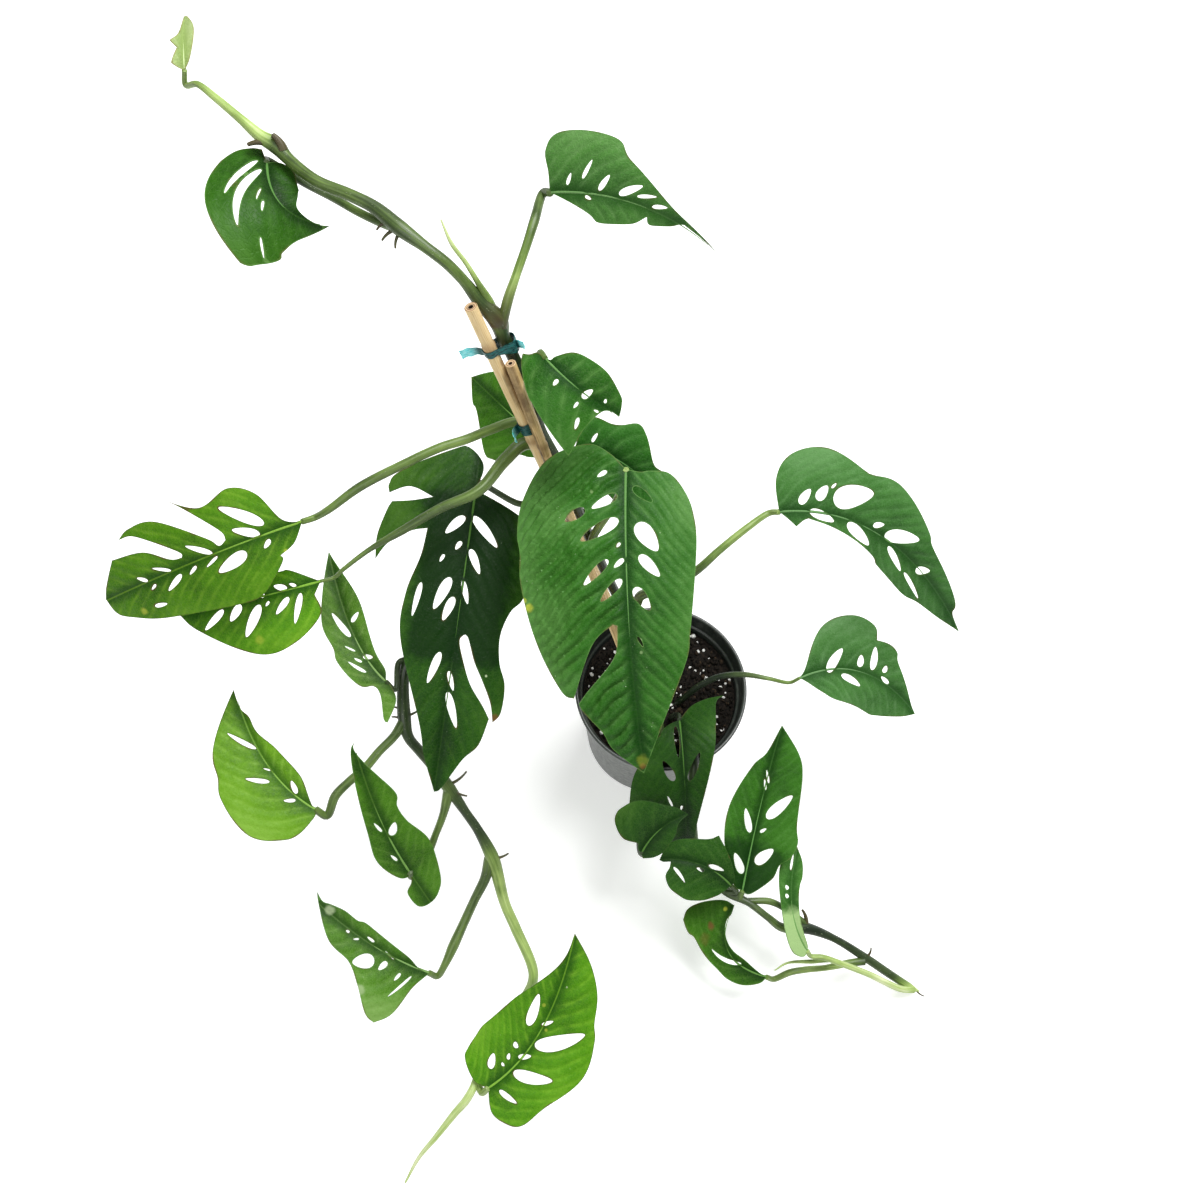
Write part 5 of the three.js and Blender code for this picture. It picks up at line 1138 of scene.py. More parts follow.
SHOOTS = {
    "vine_main": (
        Shoot(((-17.9, 30.7, 88, 4.2), (-23.8, 36.8, 119, 4.2), (-38.6, 46.1, 182, 4.2),
               (-59.8, 58.3, 242, 4.2), (-81, 70.4, 308, 4.3), (-99.1, 79.9, 369.6, 4.3),
               (-112.8, 88.3, 401, 4.3), (-119.1, 92.3, 431, 4.4), (-126, 99.2, 451, 4.4),
               (-133.6, 105, 471, 4.5), (-138, 106.6, 483, 4.6), (-141, 107, 501, 6.6),
               (-152, 111, 513, 4.6), (-162, 115.1, 527.5, 3.5), (-172.3, 118.8, 538.4, 3.6),
               (-185.9, 124.1, 546, 3.6), (-202, 133, 550, 5.2), (-219, 146, 551, 4.2), (-235, 153, 552, 4),
               (-258, 161.5, 552.5, 3.9), (-278.1, 176.5, 553.4, 3.8), (-286, 184, 555, 5.6),
               (-295, 187, 558, 4.2), (-310, 197, 562, 2.9), (-327, 209, 565, 2.5),
               (-339.2, 217.5, 565.8, 2.1)), "leaf_young_tip",
              tones=((0, 0.1), (7, 0.1), (8, 0), (9, 0), (10, 0.2), (11, 0.35), (12, 0.2), (13, 0.45),
                     (16, 0.35), (17, 0.2), (18, 0.45), (21, 0.35), (22, 0.8), (24, 0.7), (25, 0.6)),
              browned=((10.8, 0), (11, 0.85), (12, 0))),
        Shoot(((-201, 133, 548, 3), (-216, 143, 541, 2.8), (-231, 151, 539, 2.7), (-251, 163, 537, 2.6),
               (-270, 171, 539, 2.6)), "leaf_top_left", tones=((0, 0.35), (2, 0.4), (4, 0.2), (6, 0.3))),
        Shoot(((-138, 104, 498, 3.4), (-134.9, 114, 512, 3.5), (-130.7, 125.9, 522, 2.9),
               (-125.5, 142.1, 532, 2.9), (-122, 158.2, 537.1, 3.3)), "leaf_top_right",
              tones=((0, 0.3), (1, 0.6), (2, 0.7), (3, 0.5), (5, 0.3)), browned=((0, 0.8), (2, 0))),
        Shoot(((-141, 108, 500, 3), (-147, 113, 512, 3.2), (-153.7, 116.6, 525.8, 1.8),
               (-160.6, 120.9, 537.5, 1.5), (-169.2, 125.1, 549.6, 1.4), (-176, 134, 560, 0.5)),
              tones=((0, 0.35), (1, 0.6), (2, 0.6), (4, 0.95)), browned=((0, 0.7), (1, 0))),
        Shoot(((-120.6, 93.4, 436, 2.6), (-116, 97, 446, 2.4)), "leaf_stake_top", tones=((0, 0.4),)),
        Shoot(((-96.9, 78.8, 362, 2.6), (-104, 92, 361, 2.4)), "leaf_behind_stake", tones=((0, 0.5),)),
        Shoot(((-78.5, 69, 300, 2.6), (-76, 80, 313, 2.5), (-79, 91, 330, 2.4)), "leaf_behind_big"),
        Shoot(((-68, 63, 268, 3.4), (-69.8, 61.3, 290, 3.4), (-65.5, 65.5, 302, 3.3),
               (-60.5, 67.5, 317, 3.2), (-55.5, 68.3, 335, 3.1), (-51, 67, 364, 3)), "leaf_big",
              foot=(3, -9), tones=((0, 0.4), (3.5, 0.6))),
        Shoot(((-35.3, 44, 168, 3.4), (-31.5, 46.5, 182, 3.6), (-28.5, 46, 204, 3.8),
               (-26.4, 42.8, 228.3, 4.3), (-8, 41, 252, 3.6), (13, 45, 280, 3.4), (30, 60, 291, 3.1),
               (50, 77.5, 299, 2.9)), "leaf_right_upper", tones=((0, 0.3), (5, 0.4), (7, 0.65))),
        Shoot(((-86.3, 73, 326, 2.8), (-94, 80, 329, 2.6), (-105, 78, 332, 2.6), (-113, 70, 334, 2.5),
               (-119, 63, 335.5, 2.4), (-127.1, 60.5, 338.1, 2.5)), "leaf_dark", tones=((0, 0.2),)),
        Shoot(((-106.3, 84.3, 386, 3.6), (-116, 92, 393, 3.5), (-129, 93, 401, 3.4), (-147, 79, 410, 3.4),
               (-162, 65, 418, 3.3), (-178, 56, 420, 3.2), (-203.2, 40.3, 418.1, 3.1),
               (-230.2, 25.3, 410.1, 3.2), (-249.6, 11.6, 400.8, 2.7)), "leaf_left_upper",
              tones=((0, 0.2), (4, 0.6), (7, 0.4), (8, 0.5))),
        Shoot(((-99.3, 80, 370, 4.8), (-110, 88.5, 377, 5), (-124, 86, 383, 4.9), (-136, 70, 386, 4.8),
               (-152, 42, 388, 4), (-177, 28, 384, 3.4), (-204, 12, 374, 3), (-225.7, 0.8, 363.4, 1.9),
               (-243, -12, 355, 1.6)), "leaf_left_lower",
              tones=((0, 0.3), (1, 0.45), (4, 0.5), (5, 0.35), (6, 0.3), (8, 0.5))),
    ),
    "vine_left": (
        Shoot(((-3, 25.5, 88, 4.2), (-10, 30, 112, 4.2), (-20.2, 32.3, 150, 4.2), (-31.1, 32.5, 185, 4.2),
               (-43, 26, 217, 4.2), (-54.5, 23, 230, 4.2), (-68, 22, 240, 4.3), (-91.8, 22, 266, 4.4),
               (-122.7, 19.8, 284, 4.4), (-141.7, -1.3, 290, 4.4), (-158.8, -17, 292, 4.4),
               (-172.9, -30.5, 292, 4.4), (-188.2, -41.7, 290, 4.4), (-198.4, -52.3, 286, 4.2),
               (-201.4, -62.4, 280.5, 4.2), (-198.7, -90.1, 266.9, 5.2), (-194.7, -102.9, 259.6, 4),
               (-186.5, -110.5, 253, 3.9), (-177, -118.5, 246, 3.9), (-163.5, -131.2, 232.5, 5),
               (-149.1, -146.1, 216, 3.5), (-138.5, -157, 203.6, 3.7), (-126, -174.5, 188, 5.4),
               (-114, -204, 162, 4.1), (-104.3, -220.1, 149.9, 4.2), (-87, -252, 130, 4.1),
               (-92.5, -268.5, 112, 3.8), (-105, -285.5, 104, 3.5), (-117.5, -300.5, 102, 3.3),
               (-126, -315, 101, 3.1)), "leaf_front",
              tones=((0, 0.1), (16, 0.15), (17, 0.2), (19, 0.45), (20, 0.1), (21, 0.1), (22, 0.6),
                     (23, 0.75), (25, 0.7))),
        Shoot(((-197.8, -51, 286.5, 2.4), (-205.4, -54.5, 287.5, 2.2)), "leaf_hanging_left",
              tones=((0, 0.15),)),
        Shoot(((-198.5, -93, 266, 4.2), (-204.6, -104.6, 263.2, 3.4), (-214.1, -116.9, 262, 3.3),
               (-223, -130, 260, 3.4), (-234.1, -141.2, 257.3, 3.3), (-242.9, -151.5, 253.2, 3.5)),
              "leaf_left_round", tones=((0, 0.3), (1.5, 0.4))),
        Shoot(((-162, -132, 231, 4.6), (-165.2, -150.8, 221.1, 3), (-169.5, -163.5, 213.2, 2.7),
               (-175, -180, 207, 3.2)), "leaf_twisted", tones=((0, 0.45), (3.5, 0.5), (5, 0.3))),
        Shoot(((-128.2, -174.5, 187.2, 4.7), (-130.7, -188.3, 178.3, 4.1), (-137.8, -204.1, 168.4, 3.6),
               (-145.1, -222, 158.4, 3.7), (-151.6, -239, 151.4, 4.2), (-156.5, -252.2, 147.3, 3)),
              "leaf_low_left", tones=((0, 0.4), (1.5, 0.3), (3, 0.45), (6, 0.5), (7, 0.45))),
        Shoot(((-126, -315, 101, 2.4), (-125, -334, 103, 3), (-130.4, -348.4, 103.7, 3.3),
               (-139.2, -359.8, 99.1, 2.9), (-152.2, -377.8, 90.1, 2.3), (-164.7, -394.2, 79.9, 1.6),
               (-173.6, -412.8, 71.1, 0.8)), tones=((0, 0.8), (6, 0.9))),
    ),
    "vine_right": (
        Shoot(((21, -22, 88, 4.2), (28, -36, 112, 4.2), (31, -52, 129, 4.2), (32, -65, 135.2, 4.2),
               (32, -78, 135.4, 4.2), (33, -90, 126, 4.2), (35, -98, 108, 4.2), (38, -110, 85, 4.2),
               (44, -128, 68, 4.2), (56, -146, 64, 4.2), (73, -162, 68, 4.2), (92.1, -170.4, 69.7, 3),
               (109.7, -180.4, 64.9, 3.1), (124, -186.5, 55.5, 4), (146, -184, 48, 5.2),
               (173.1, -189.2, 37.5, 3.3), (204.7, -202.2, 25.5, 3.9), (227.8, -212.8, 16, 3.8),
               (247.9, -221.6, 9, 3.4), (256.2, -224.5, 6.9, 0.9)),
              tones=((0, 0), (3, 0), (4, 0.2), (5, 0.1), (12, 0.3), (13, 0.5), (14, 0), (17, 0.2),
                     (18, 0.8))),
        Shoot(((71, -161, 70, 2.6), (71, -163, 74, 2.4)), "leaf_low_front", tones=((0, 0.2),)),
        Shoot(((146, -181, 49.5, 3), (130, -173, 58, 2.7), (110.9, -167.3, 67.9, 3)), "leaf_low_right",
              tones=((0, 0.3), (4, 0.5))),
        Shoot(((203, -205, 26.5, 3.6), (190, -207.5, 26, 3.4), (168, -213.5, 25, 2.6),
               (152.1, -216.3, 26.2, 2.9), (136.4, -220.3, 26.9, 2.9)), "leaf_low_curled",
              tones=((0, 0.2), (1.5, 0.7), (6, 0.5))),
        Shoot(((180, -209.5, 25.5, 2.2), (173, -208, 33, 1.6), (152.9, -211.2, 40.3, 2),
               (130.9, -214.8, 44.1, 1), (120, -222, 44, 0.5)), tones=((0, 0.8), (1.5, 0.65), (3, 0.8))),
        Shoot(((251, -223.5, 8.5, 3.2), (238, -224.5, 14.5, 3), (206, -216, 28, 2.8), (175, -210, 42, 2.7),
               (160.5, -208, 50, 2.4)), "leaf_folded", tones=((0, 0.7), (1.5, 0.9), (4, 0.7))),
    ),
    "stem_right_lower": (
        Shoot(((6, -6, 86, 2.8), (16, -8, 112, 2.9), (22, -6, 124, 2.9), (33, -1, 144, 2.8),
               (48, 3, 160, 2.7), (68, 3, 170, 2.4), (87.9, -0.3, 174.5, 1.8)), "leaf_right_lower",
              tones=((0, 0), (4, 0), (5, 0.3), (6, 0.55))),
    ),
    "stem_over_rim": (
        Shoot(((8, -18, 86, 2.6), (12, -22, 112, 2.6), (13, -27, 134, 2.4)), "leaf_over_rim",
              tones=((0, 0),)),
    ),
    "stem_under_rim": (
        Shoot(((2, -20, 86, 2.2), (4, -30, 112, 2.2), (4, -54, 128, 2.1), (4, -66, 133, 2.1),
               (3, -78, 133.4, 2.1), (0, -89, 124, 2.1), (-3, -98, 110, 2.1), (-6, -111, 94, 2.1),
               (-8, -126, 86, 2.1), (-7, -140, 96, 2.1), (-4, -145, 110, 2.1)), "leaf_under_rim",
              foot=(2, -7), tones=((0, 0.15),)),
    ),
}

ROOTS = {
    "vine_main": (
        ((-205, 134, 547), (-213, 128, 543), 1.4), ((-202, 131, 548), (-204, 123, 543), 1.3),
        ((-210, 139, 548), (-217, 134, 545), 1.2), ((-289, 184, 556), (-303, 181, 557), 2.4),
        ((-281, 180, 556), (-287, 185, 563), 3.4)),
    "vine_left": (
        ((-198, -88, 268), (-207, -84, 270), 1.3), ((-196, -89, 268), (-187, -84, 272), 1.2),
        ((-200, -92, 266), (-208, -91, 267), 1.2), ((-162, -130, 233.5), (-150, -120, 238), 1.4),
        ((-162, -132, 232), (-148, -137, 230), 1.3), ((-125.5, -174.5, 188), (-114, -170, 191), 1.4)),
    "vine_right": (
        ((206, -200, 28), (207, -194, 34), 1.2), ((254, -224, 8), (262, -228, 5), 1),
        ((146, -182, 50), (141, -170, 57), 2.2)),
}


# Canes


class CaneAge(Enum):
    """How weathered a cane is, with its pale, middle and brown colours and the share of brown."""

    DRY = ((0.84, 0.66, 0.36), (0.66, 0.45, 0.19), (0.26, 0.12, 0.035), 0.25)
    WEATHERED = ((0.74, 0.54, 0.26), (0.46, 0.28, 0.09), (0.16, 0.075, 0.02), 0.5)


@dataclass
class Cane:
    """A bamboo cane that leans from its foot in the soil to its cut, hollow top.

    A stain runs from one length along it to another, at a place round it, with its half width and strength.
    """

    name: str
    foot: Point
    top: Point
    radius: float
    bore: float
    bore_depth: float
    age: CaneAge
    slot: str
    stains: Rows = ()
    joint_first: float = 128
    joint_spacing: float = 92
    joint_swell: float = 0.5
    joint_width: float = 1.6
    groove_depth: float = 0.22
    groove_above: float = 3.2
    bevel: float = 0.25
    sides: int = 40

    @cached_property
    def length(self) -> float:
        """From foot to top."""
        return float(np.linalg.norm(np.subtract(self.top, self.foot)))

    def joints(self) -> Array:
        """Heights of the joints along the cane."""
        return np.arange(self.joint_first, self.length - 10, self.joint_spacing)

    def surface(self) -> Surface:
        """The cane: a profile turned about its line. Along it the radius swells by a narrow bell at each
        joint, with a shallow groove just above it; at the top it turns in over the cut to the bore."""
        z = np.linspace(0, self.length, int(self.length / 2))
        near = z[:, None] - self.joints()[None]
        swell = self.joint_swell * np.exp(-(near / self.joint_width) ** 2)
        groove = self.groove_depth * np.exp(-(near - self.groove_above) ** 2)
        radius = self.radius + (swell - groove).sum(1) + 0.06 * np.sin(z / 23.0)
        face = np.linspace(self.radius - 2 * self.bevel, self.bore + 0.2, 5)
        profile = np.array([(0.0, 0.0), *zip(radius[:-1], z[:-1]), (self.radius, self.length - self.bevel),
                            (self.radius - self.bevel, self.length),
                            *zip(face, self.length - 0.05 - 0.1 * np.sin(face * 5)),
                            (self.bore, self.length - 0.6), (self.bore, self.length - self.bore_depth),
                            (0.0, self.length - self.bore_depth)])
        body = lathe(profile, self.sides)
        heights, reach = body.points[:, 2].copy(), body.values["skin"][:, 1]
        turn = np.arctan2(body.points[:, 1], body.points[:, 0])
        hollow = ease(-reach, -self.bore - 0.35, -self.bore) * (heights > 5)
        cut_face = (heights > self.length - 0.3) & (reach < self.radius - 0.1)
        to_joint = np.abs(heights[:, None] - self.joints()[None]).min(1)
        body.values = {"skin": np.stack([heights, turn * self.radius, reach], -1), "hollow": hollow,
                       "cut": np.maximum(cut_face * 1.0, hollow), "joint": np.exp(-(to_joint / 4.0) ** 2)}
        lean = unit(np.subtract(self.top, self.foot))
        right = unit(np.cross((0.0, 1.0, 0.2), lean))
        axes = np.stack([right, np.cross(lean, right), lean])
        body.points = body.points @ axes + np.array(self.foot, float)
        return body

    def finish(self) -> Material:
        """Shades the cane: pale fibres with long brown streaks and blots, browner joints, a ringed cut and
        painted shade, near black, down its hollow."""
        pale, middle, brown, share = self.age.value
        s = Shader(f"{self.name}_bamboo")
        along, around, radius = s.parts(s.held("skin", "Vector"))
        fibres = s.noise(s.vector(s.times(along, 0.05), s.times(around, 2.2)), 1.0, 3.0)
        streaks = s.noise(s.vector(s.times(along, 0.012), s.times(around, 0.45)), 1.0, 4.0, 0.6)
        blots = s.noise(s.place(), 75.0, 4.0, 0.65)
        colour = s.mix(s.fade(fibres, 0.3, 0.75), pale, middle)
        stain = s.plus(streaks, s.times(blots, 0.6))
        stain = s.fade(stain, 1.02 - share * 0.4, 1.2 - share * 0.35)
        colour = s.mix(s.times(stain, 0.55 + share * 0.4), colour, brown)
        for low, high, side, wide, strength in self.stains:
            ragged = s.times(s.maths("SUBTRACT", streaks, 0.5), 5.0)
            off = s.maths("ABSOLUTE", s.plus(s.maths("SUBTRACT", around, side), ragged))
            mask = s.times(s.fade(along, low - 5, low + 3), s.fade(along, high + 5, high - 3),
                           s.fade(off, wide * 1.5, wide * 0.6, (0.0, strength)),
                           s.fade(blots, 0.3, 0.6, (0.45, 1.0)))
            colour = s.mix(mask, colour, tuple(0.6 * part for part in brown))
        colour = s.mix(s.times(s.held("joint"), 0.6), colour, brown)
        rings = s.maths("PINGPONG", s.plus(radius, s.times(blots, 0.5)), 0.7)
        face = s.mix(s.fade(rings, 0.1, 0.6), (0.20, 0.10, 0.05), (0.62, 0.45, 0.26))
        colour = s.mix(s.held("cut"), colour, face)
        # painted shade: the inside of the bore is near black
        colour = s.mix(s.held("hollow"), colour, (0.02, 0.012, 0.008))
        s.set(Base_Color=colour, Roughness=s.fade(streaks, 0.3, 0.7, (0.42, 0.62)))
        s.bump(s.plus(fibres, blots), 0.5, 0.0004)
        return s.material

    def build(self) -> None:
        """Builds and dresses the cane."""
        dress(self.surface().make(f"{self.name}_shaft", self.finish(), 35), self.slot, self.name)


# Ties


@dataclass
class Tie:
    """A band of stretch tape round the cane and, if it has a route, the vine behind it, with its loose ends.

    at is its height on the long cane, and drop how much lower it sits at the vine. A flag is a loose end
    through points to the right and behind, in the band's plane.
    """

    name: str
    at: float
    drop: float
    width_at_cane: float
    width_at_vine: float
    flag_width: float
    flags: tuple[Rows, ...]
    cane: Cane
    vine: Rows = ()
    slack_at_cane: float = 0.3
    slack_at_vine: float = 1.8
    wall: float = 0.8
    right_hint: Point = (0.912, 0.361, 0.218)
    rows: int = 15
    loop_points: int = 120
    flag_points: int = 26

    def frame(self) -> tuple[Array, Array, Array, Array]:
        """The band's plane, square to the cane: where it crosses the cane, and the directions right, behind
        and along the cane."""
        foot, top = np.array(self.cane.foot, float), np.array(self.cane.top, float)
        along = unit(top - foot)
        hint = np.array(self.right_hint)
        right = unit(hint - (hint @ along) * along)
        origin = foot + (top - foot) * (self.at - foot[2]) / (top[2] - foot[2])
        return origin, right, np.cross(along, right), along

    def held(self) -> Array:
        """What the band holds, as rows of right, behind and radius: the cane at the plane's origin and, where
        the vine's run crosses the plane lowered by the drop, the vine."""
        circles = [(0.0, 0.0, self.cane.radius + self.slack_at_cane)]
        if self.vine:
            origin, right, behind, along = self.frame()
            lower = origin - along * self.drop
            route = np.array(self.vine, float)
            k = int(np.argmax((route[:, :3] - lower) @ along > 0))
            point, run = route[k - 1, :3], route[k, :3] - route[k - 1, :3]
            local = point + run * (((lower - point) @ along) / (run @ along)) - lower
            circles.append((local @ right, local @ behind, route[k, 3] + self.slack_at_vine))
        return np.array(circles)

    def towards_vine(self, flat: Array) -> Array:
        """How far points of the band lie towards the vine: 0 at the cane, 1 at the vine."""
        vine = self.held()[-1, :2]
        reach = vine @ vine
        return np.clip(flat @ vine / reach, 0, 1) if reach > 0 else np.zeros(flat.shape[:-1])

    def loop(self, count: int, extra: float) -> Array:
        """A taut loop round the circles: in each direction, the point of whichever circle reaches out
        furthest that way."""
        circles = self.held()
        way = circle(count)
        best = circles[np.argmax(way @ circles[:, :2].T + circles[:, 2] + extra, axis=1)]
        return best[:, :2] + way * (best[:, 2:] + extra)

    def place(self, flat: Array, height: Array) -> Array:
        """Points of the band from right, behind and height, lowered towards the vine by the drop."""
        origin, right, behind, along = self.frame()
        lift = height - self.drop * self.towards_vine(flat)
        return origin + flat[..., :1] * right + flat[..., 1:] * behind + lift[..., None] * along

    def sheet(self, path: Array, width: Array, closed: bool, loose: Array) -> Surface:
        """A strip of tape on edge along a path in the plane: a grid along and across it, ruffled by crossed
        sine waves, once for each face and closed round its edges.

        Args:
            path: points right and behind, in order.
            width: the strip's width at each.
            closed: whether it runs back to its start.
            loose: how free the tape is at each, 0 to 1.

        Returns:
            The strip, with the values "loose" and "skin".
        """
        rows, count = self.rows, len(path)
        total = count * rows
        if closed:
            run = unit(np.roll(path, -1, 0) - np.roll(path, 1, 0))
        else:
            run = unit(np.gradient(path, axis=0))
        out = np.stack([run[:, 1], -run[:, 0]], -1)
        along = travelled(path)
        across = np.linspace(-0.5, 0.5, rows)
        fold = (np.sin(along[:, None] * 0.9 + across[None] * 7) * 0.5
                + np.sin(along[:, None] * 0.37 - across[None] * 13) * 0.5)
        ruffle = (0.16 + 0.5 * loose[:, None]) * fold
        wide = width[:, None] * across[None] * (1 + 0.06 * np.sin(along * 0.8))[:, None]
        shells = []
        half = self.wall / 2 * 0.55
        for side in (half, -half):
            flat = path[:, None] + out[:, None] * (ruffle + side)[..., None]
            shells.append(self.place(flat.reshape(-1, 2), wide.ravel()))
        face = grid_faces(count + closed, rows, False) % total
        a, b = open_edges(face, total).T
        faces = [face[:, ::-1], face + total, np.stack([a, b, b + total, a + total], -1)]
        skin = np.stack(np.broadcast_arrays(along[:, None], wide, 0.0), -1).reshape(-1, 3)
        values = {"loose": np.tile(np.repeat(loose, rows), 2), "skin": np.tile(skin, (2, 1))}
        return Surface(np.vstack(shells), faces, values)

    def finish(self) -> Material:
        """Shades the tape: dark glossy teal where it is wound tight, thin and light cyan at its ends."""
        s = Shader(f"{self.name}_film")
        along, across, _ = s.parts(s.held("skin", "Vector"))
        loose = s.held("loose")
        creases = s.noise(s.vector(s.times(along, 0.25), s.times(across, 0.9)), 1.0, 3.0)
        tight = s.mix(s.fade(creases, 0.35, 0.7), (0.002, 0.036, 0.038), (0.007, 0.125, 0.120))
        thin = s.mix(s.fade(creases, 0.35, 0.7), (0.15, 0.78, 0.82), (0.45, 0.97, 0.98))
        s.set(Base_Color=s.mix(loose, tight, thin), Roughness=s.fade(creases, 0.3, 0.7, (0.22, 0.42)))
        s.bump(creases, 0.6, 0.0006)
        return s.material

    def build(self) -> None:
        """Builds and dresses the tie."""
        band = self.loop(self.loop_points, self.wall / 2)
        width = self.width_at_cane + (self.width_at_vine - self.width_at_cane) * self.towards_vine(band)
        parts = [self.sheet(band, width, True, np.zeros(len(band)))]
        t = np.linspace(0, 1, self.flag_points)
        for flag in self.flags:
            a, b, c = np.array(flag, float)
            shares = np.stack([(1 - t) ** 2, 2 * t * (1 - t), t ** 2], -1)
            curve = shares @ np.stack([a, (4 * b - a - c) / 2, c])
            parts.append(self.sheet(curve, self.flag_width * (1 + 0.25 * t), False, ease(t, 0.15, 0.7)))
        dress(Surface.joined(parts).make(f"{self.name}_tape", self.finish()), "tie_tape", self.name)


# Pot and soil


@dataclass
class Pot:
    """The round nursery pot with a stepped rim and drain holes."""

    height: float = 130
    base_radius: float = 61.5
    body_top_radius: float = 70.5
    rim_radius: float = 76
    rim_height: float = 17
    wall: float = 1.8
    floor: float = 2.4
    lip: float = 2.6
    ledge: float = 2.2
    drain_radius: float = 4
    drain_circle: float = 42
    drains: int = 6
    drain_sides: int = 24
    foot_round: float = 1.5
    sides: int = 144

    def wall_profile(self) -> Array:
        """Radius and height from the foot up the outside, over the lip and down the inside to the floor,
        with each corner rounded by a short curve."""
        shoulder = self.height - self.rim_height
        inner = self.body_top_radius - self.wall
        corners = np.array([
            (self.base_radius - self.foot_round, 0), (self.base_radius, self.foot_round),
            (self.body_top_radius, shoulder - 1),
            (self.body_top_radius + self.ledge + 0.6, shoulder), (self.rim_radius, self.height - 1.5),
            (self.rim_radius - 0.6, self.height), (self.rim_radius - self.lip, self.height),
            (self.rim_radius - self.lip - 1, self.height - 1.5), (inner + self.ledge, shoulder + 2.5),
            (inner, shoulder + 1.5), (self.base_radius - self.wall, self.floor)], float)
        rows = [corners[:1]]
        for a, b, c in zip(corners[:-2], corners[1:-1], corners[2:]):
            cut = min(0.8, np.linalg.norm(b - a) / 2.2, np.linalg.norm(c - b) / 2.2)
            p, q = b + unit(a - b) * cut, b + unit(c - b) * cut
            t = np.linspace(0, 1, 4)[:, None]
            rows.append(p * (1 - t) ** 2 + b * 2 * t * (1 - t) + q * t ** 2)
        return np.vstack([*rows, corners[-1:]])

    def bottom(self) -> Surface:
        """The floor with its drain holes: flat triangles between circles, once below and once above, with
        a wall round each hole."""
        outer, ring = circle(self.sides), self.drain_radius * circle(self.drain_sides)
        holes = [ring + self.drain_circle * way for way in circle(self.drains)]
        lower, below = filled([outer * (self.base_radius - self.foot_round), *holes], np.empty((0, 2)))
        upper, above = filled([outer * (self.base_radius - self.wall), *holes], np.empty((0, 2)))
        shells = [np.column_stack([lower, np.zeros(len(lower))]),
                  np.column_stack([upper, np.full(len(upper), self.floor)])]
        level = len(lower)
        faces = [below[:, ::-1], above + level]
        for k in range(self.drains):
            j = np.arange(self.drain_sides)
            a = self.sides + k * self.drain_sides + j
            b = self.sides + k * self.drain_sides + (j + 1) % self.drain_sides
            faces.append(np.stack([b, a, a + level, b + level], -1))
        return Surface(np.vstack(shells), faces)

    def finish(self) -> Material:
        """Shades the pot: near-black plastic with grey scuffs and watering marks."""
        s = Shader("pot_shell")
        where = s.place()
        marks = s.noise(where, 22.0, 4.0, 0.6)
        scuffs = s.noise(where, 240.0, 3.0, 0.7)
        colour = s.mix(s.fade(marks, 0.35, 0.7), (0.020, 0.026, 0.022), (0.045, 0.055, 0.047))
        dust = s.times(s.fade(scuffs, 0.5, 0.75), s.fade(marks, 0.4, 0.65, (0.1, 0.5)))
        colour = s.mix(dust, colour, (0.13, 0.14, 0.12))
        s.set(Base_Color=colour, Roughness=s.fade(scuffs, 0.3, 0.7, (0.30, 0.44)), IOR=1.5)
        s.bump(scuffs, 0.15, 0.0004)
        return s.material

    def build(self) -> None:
        """Builds and dresses the pot."""
        wall = lathe(self.wall_profile(), self.sides)
        wall.values.clear()
        piece = Surface.joined([wall, self.bottom()]).make("pot_shell", self.finish(), 40)
        dress(piece, "pot_plastic", "pot")


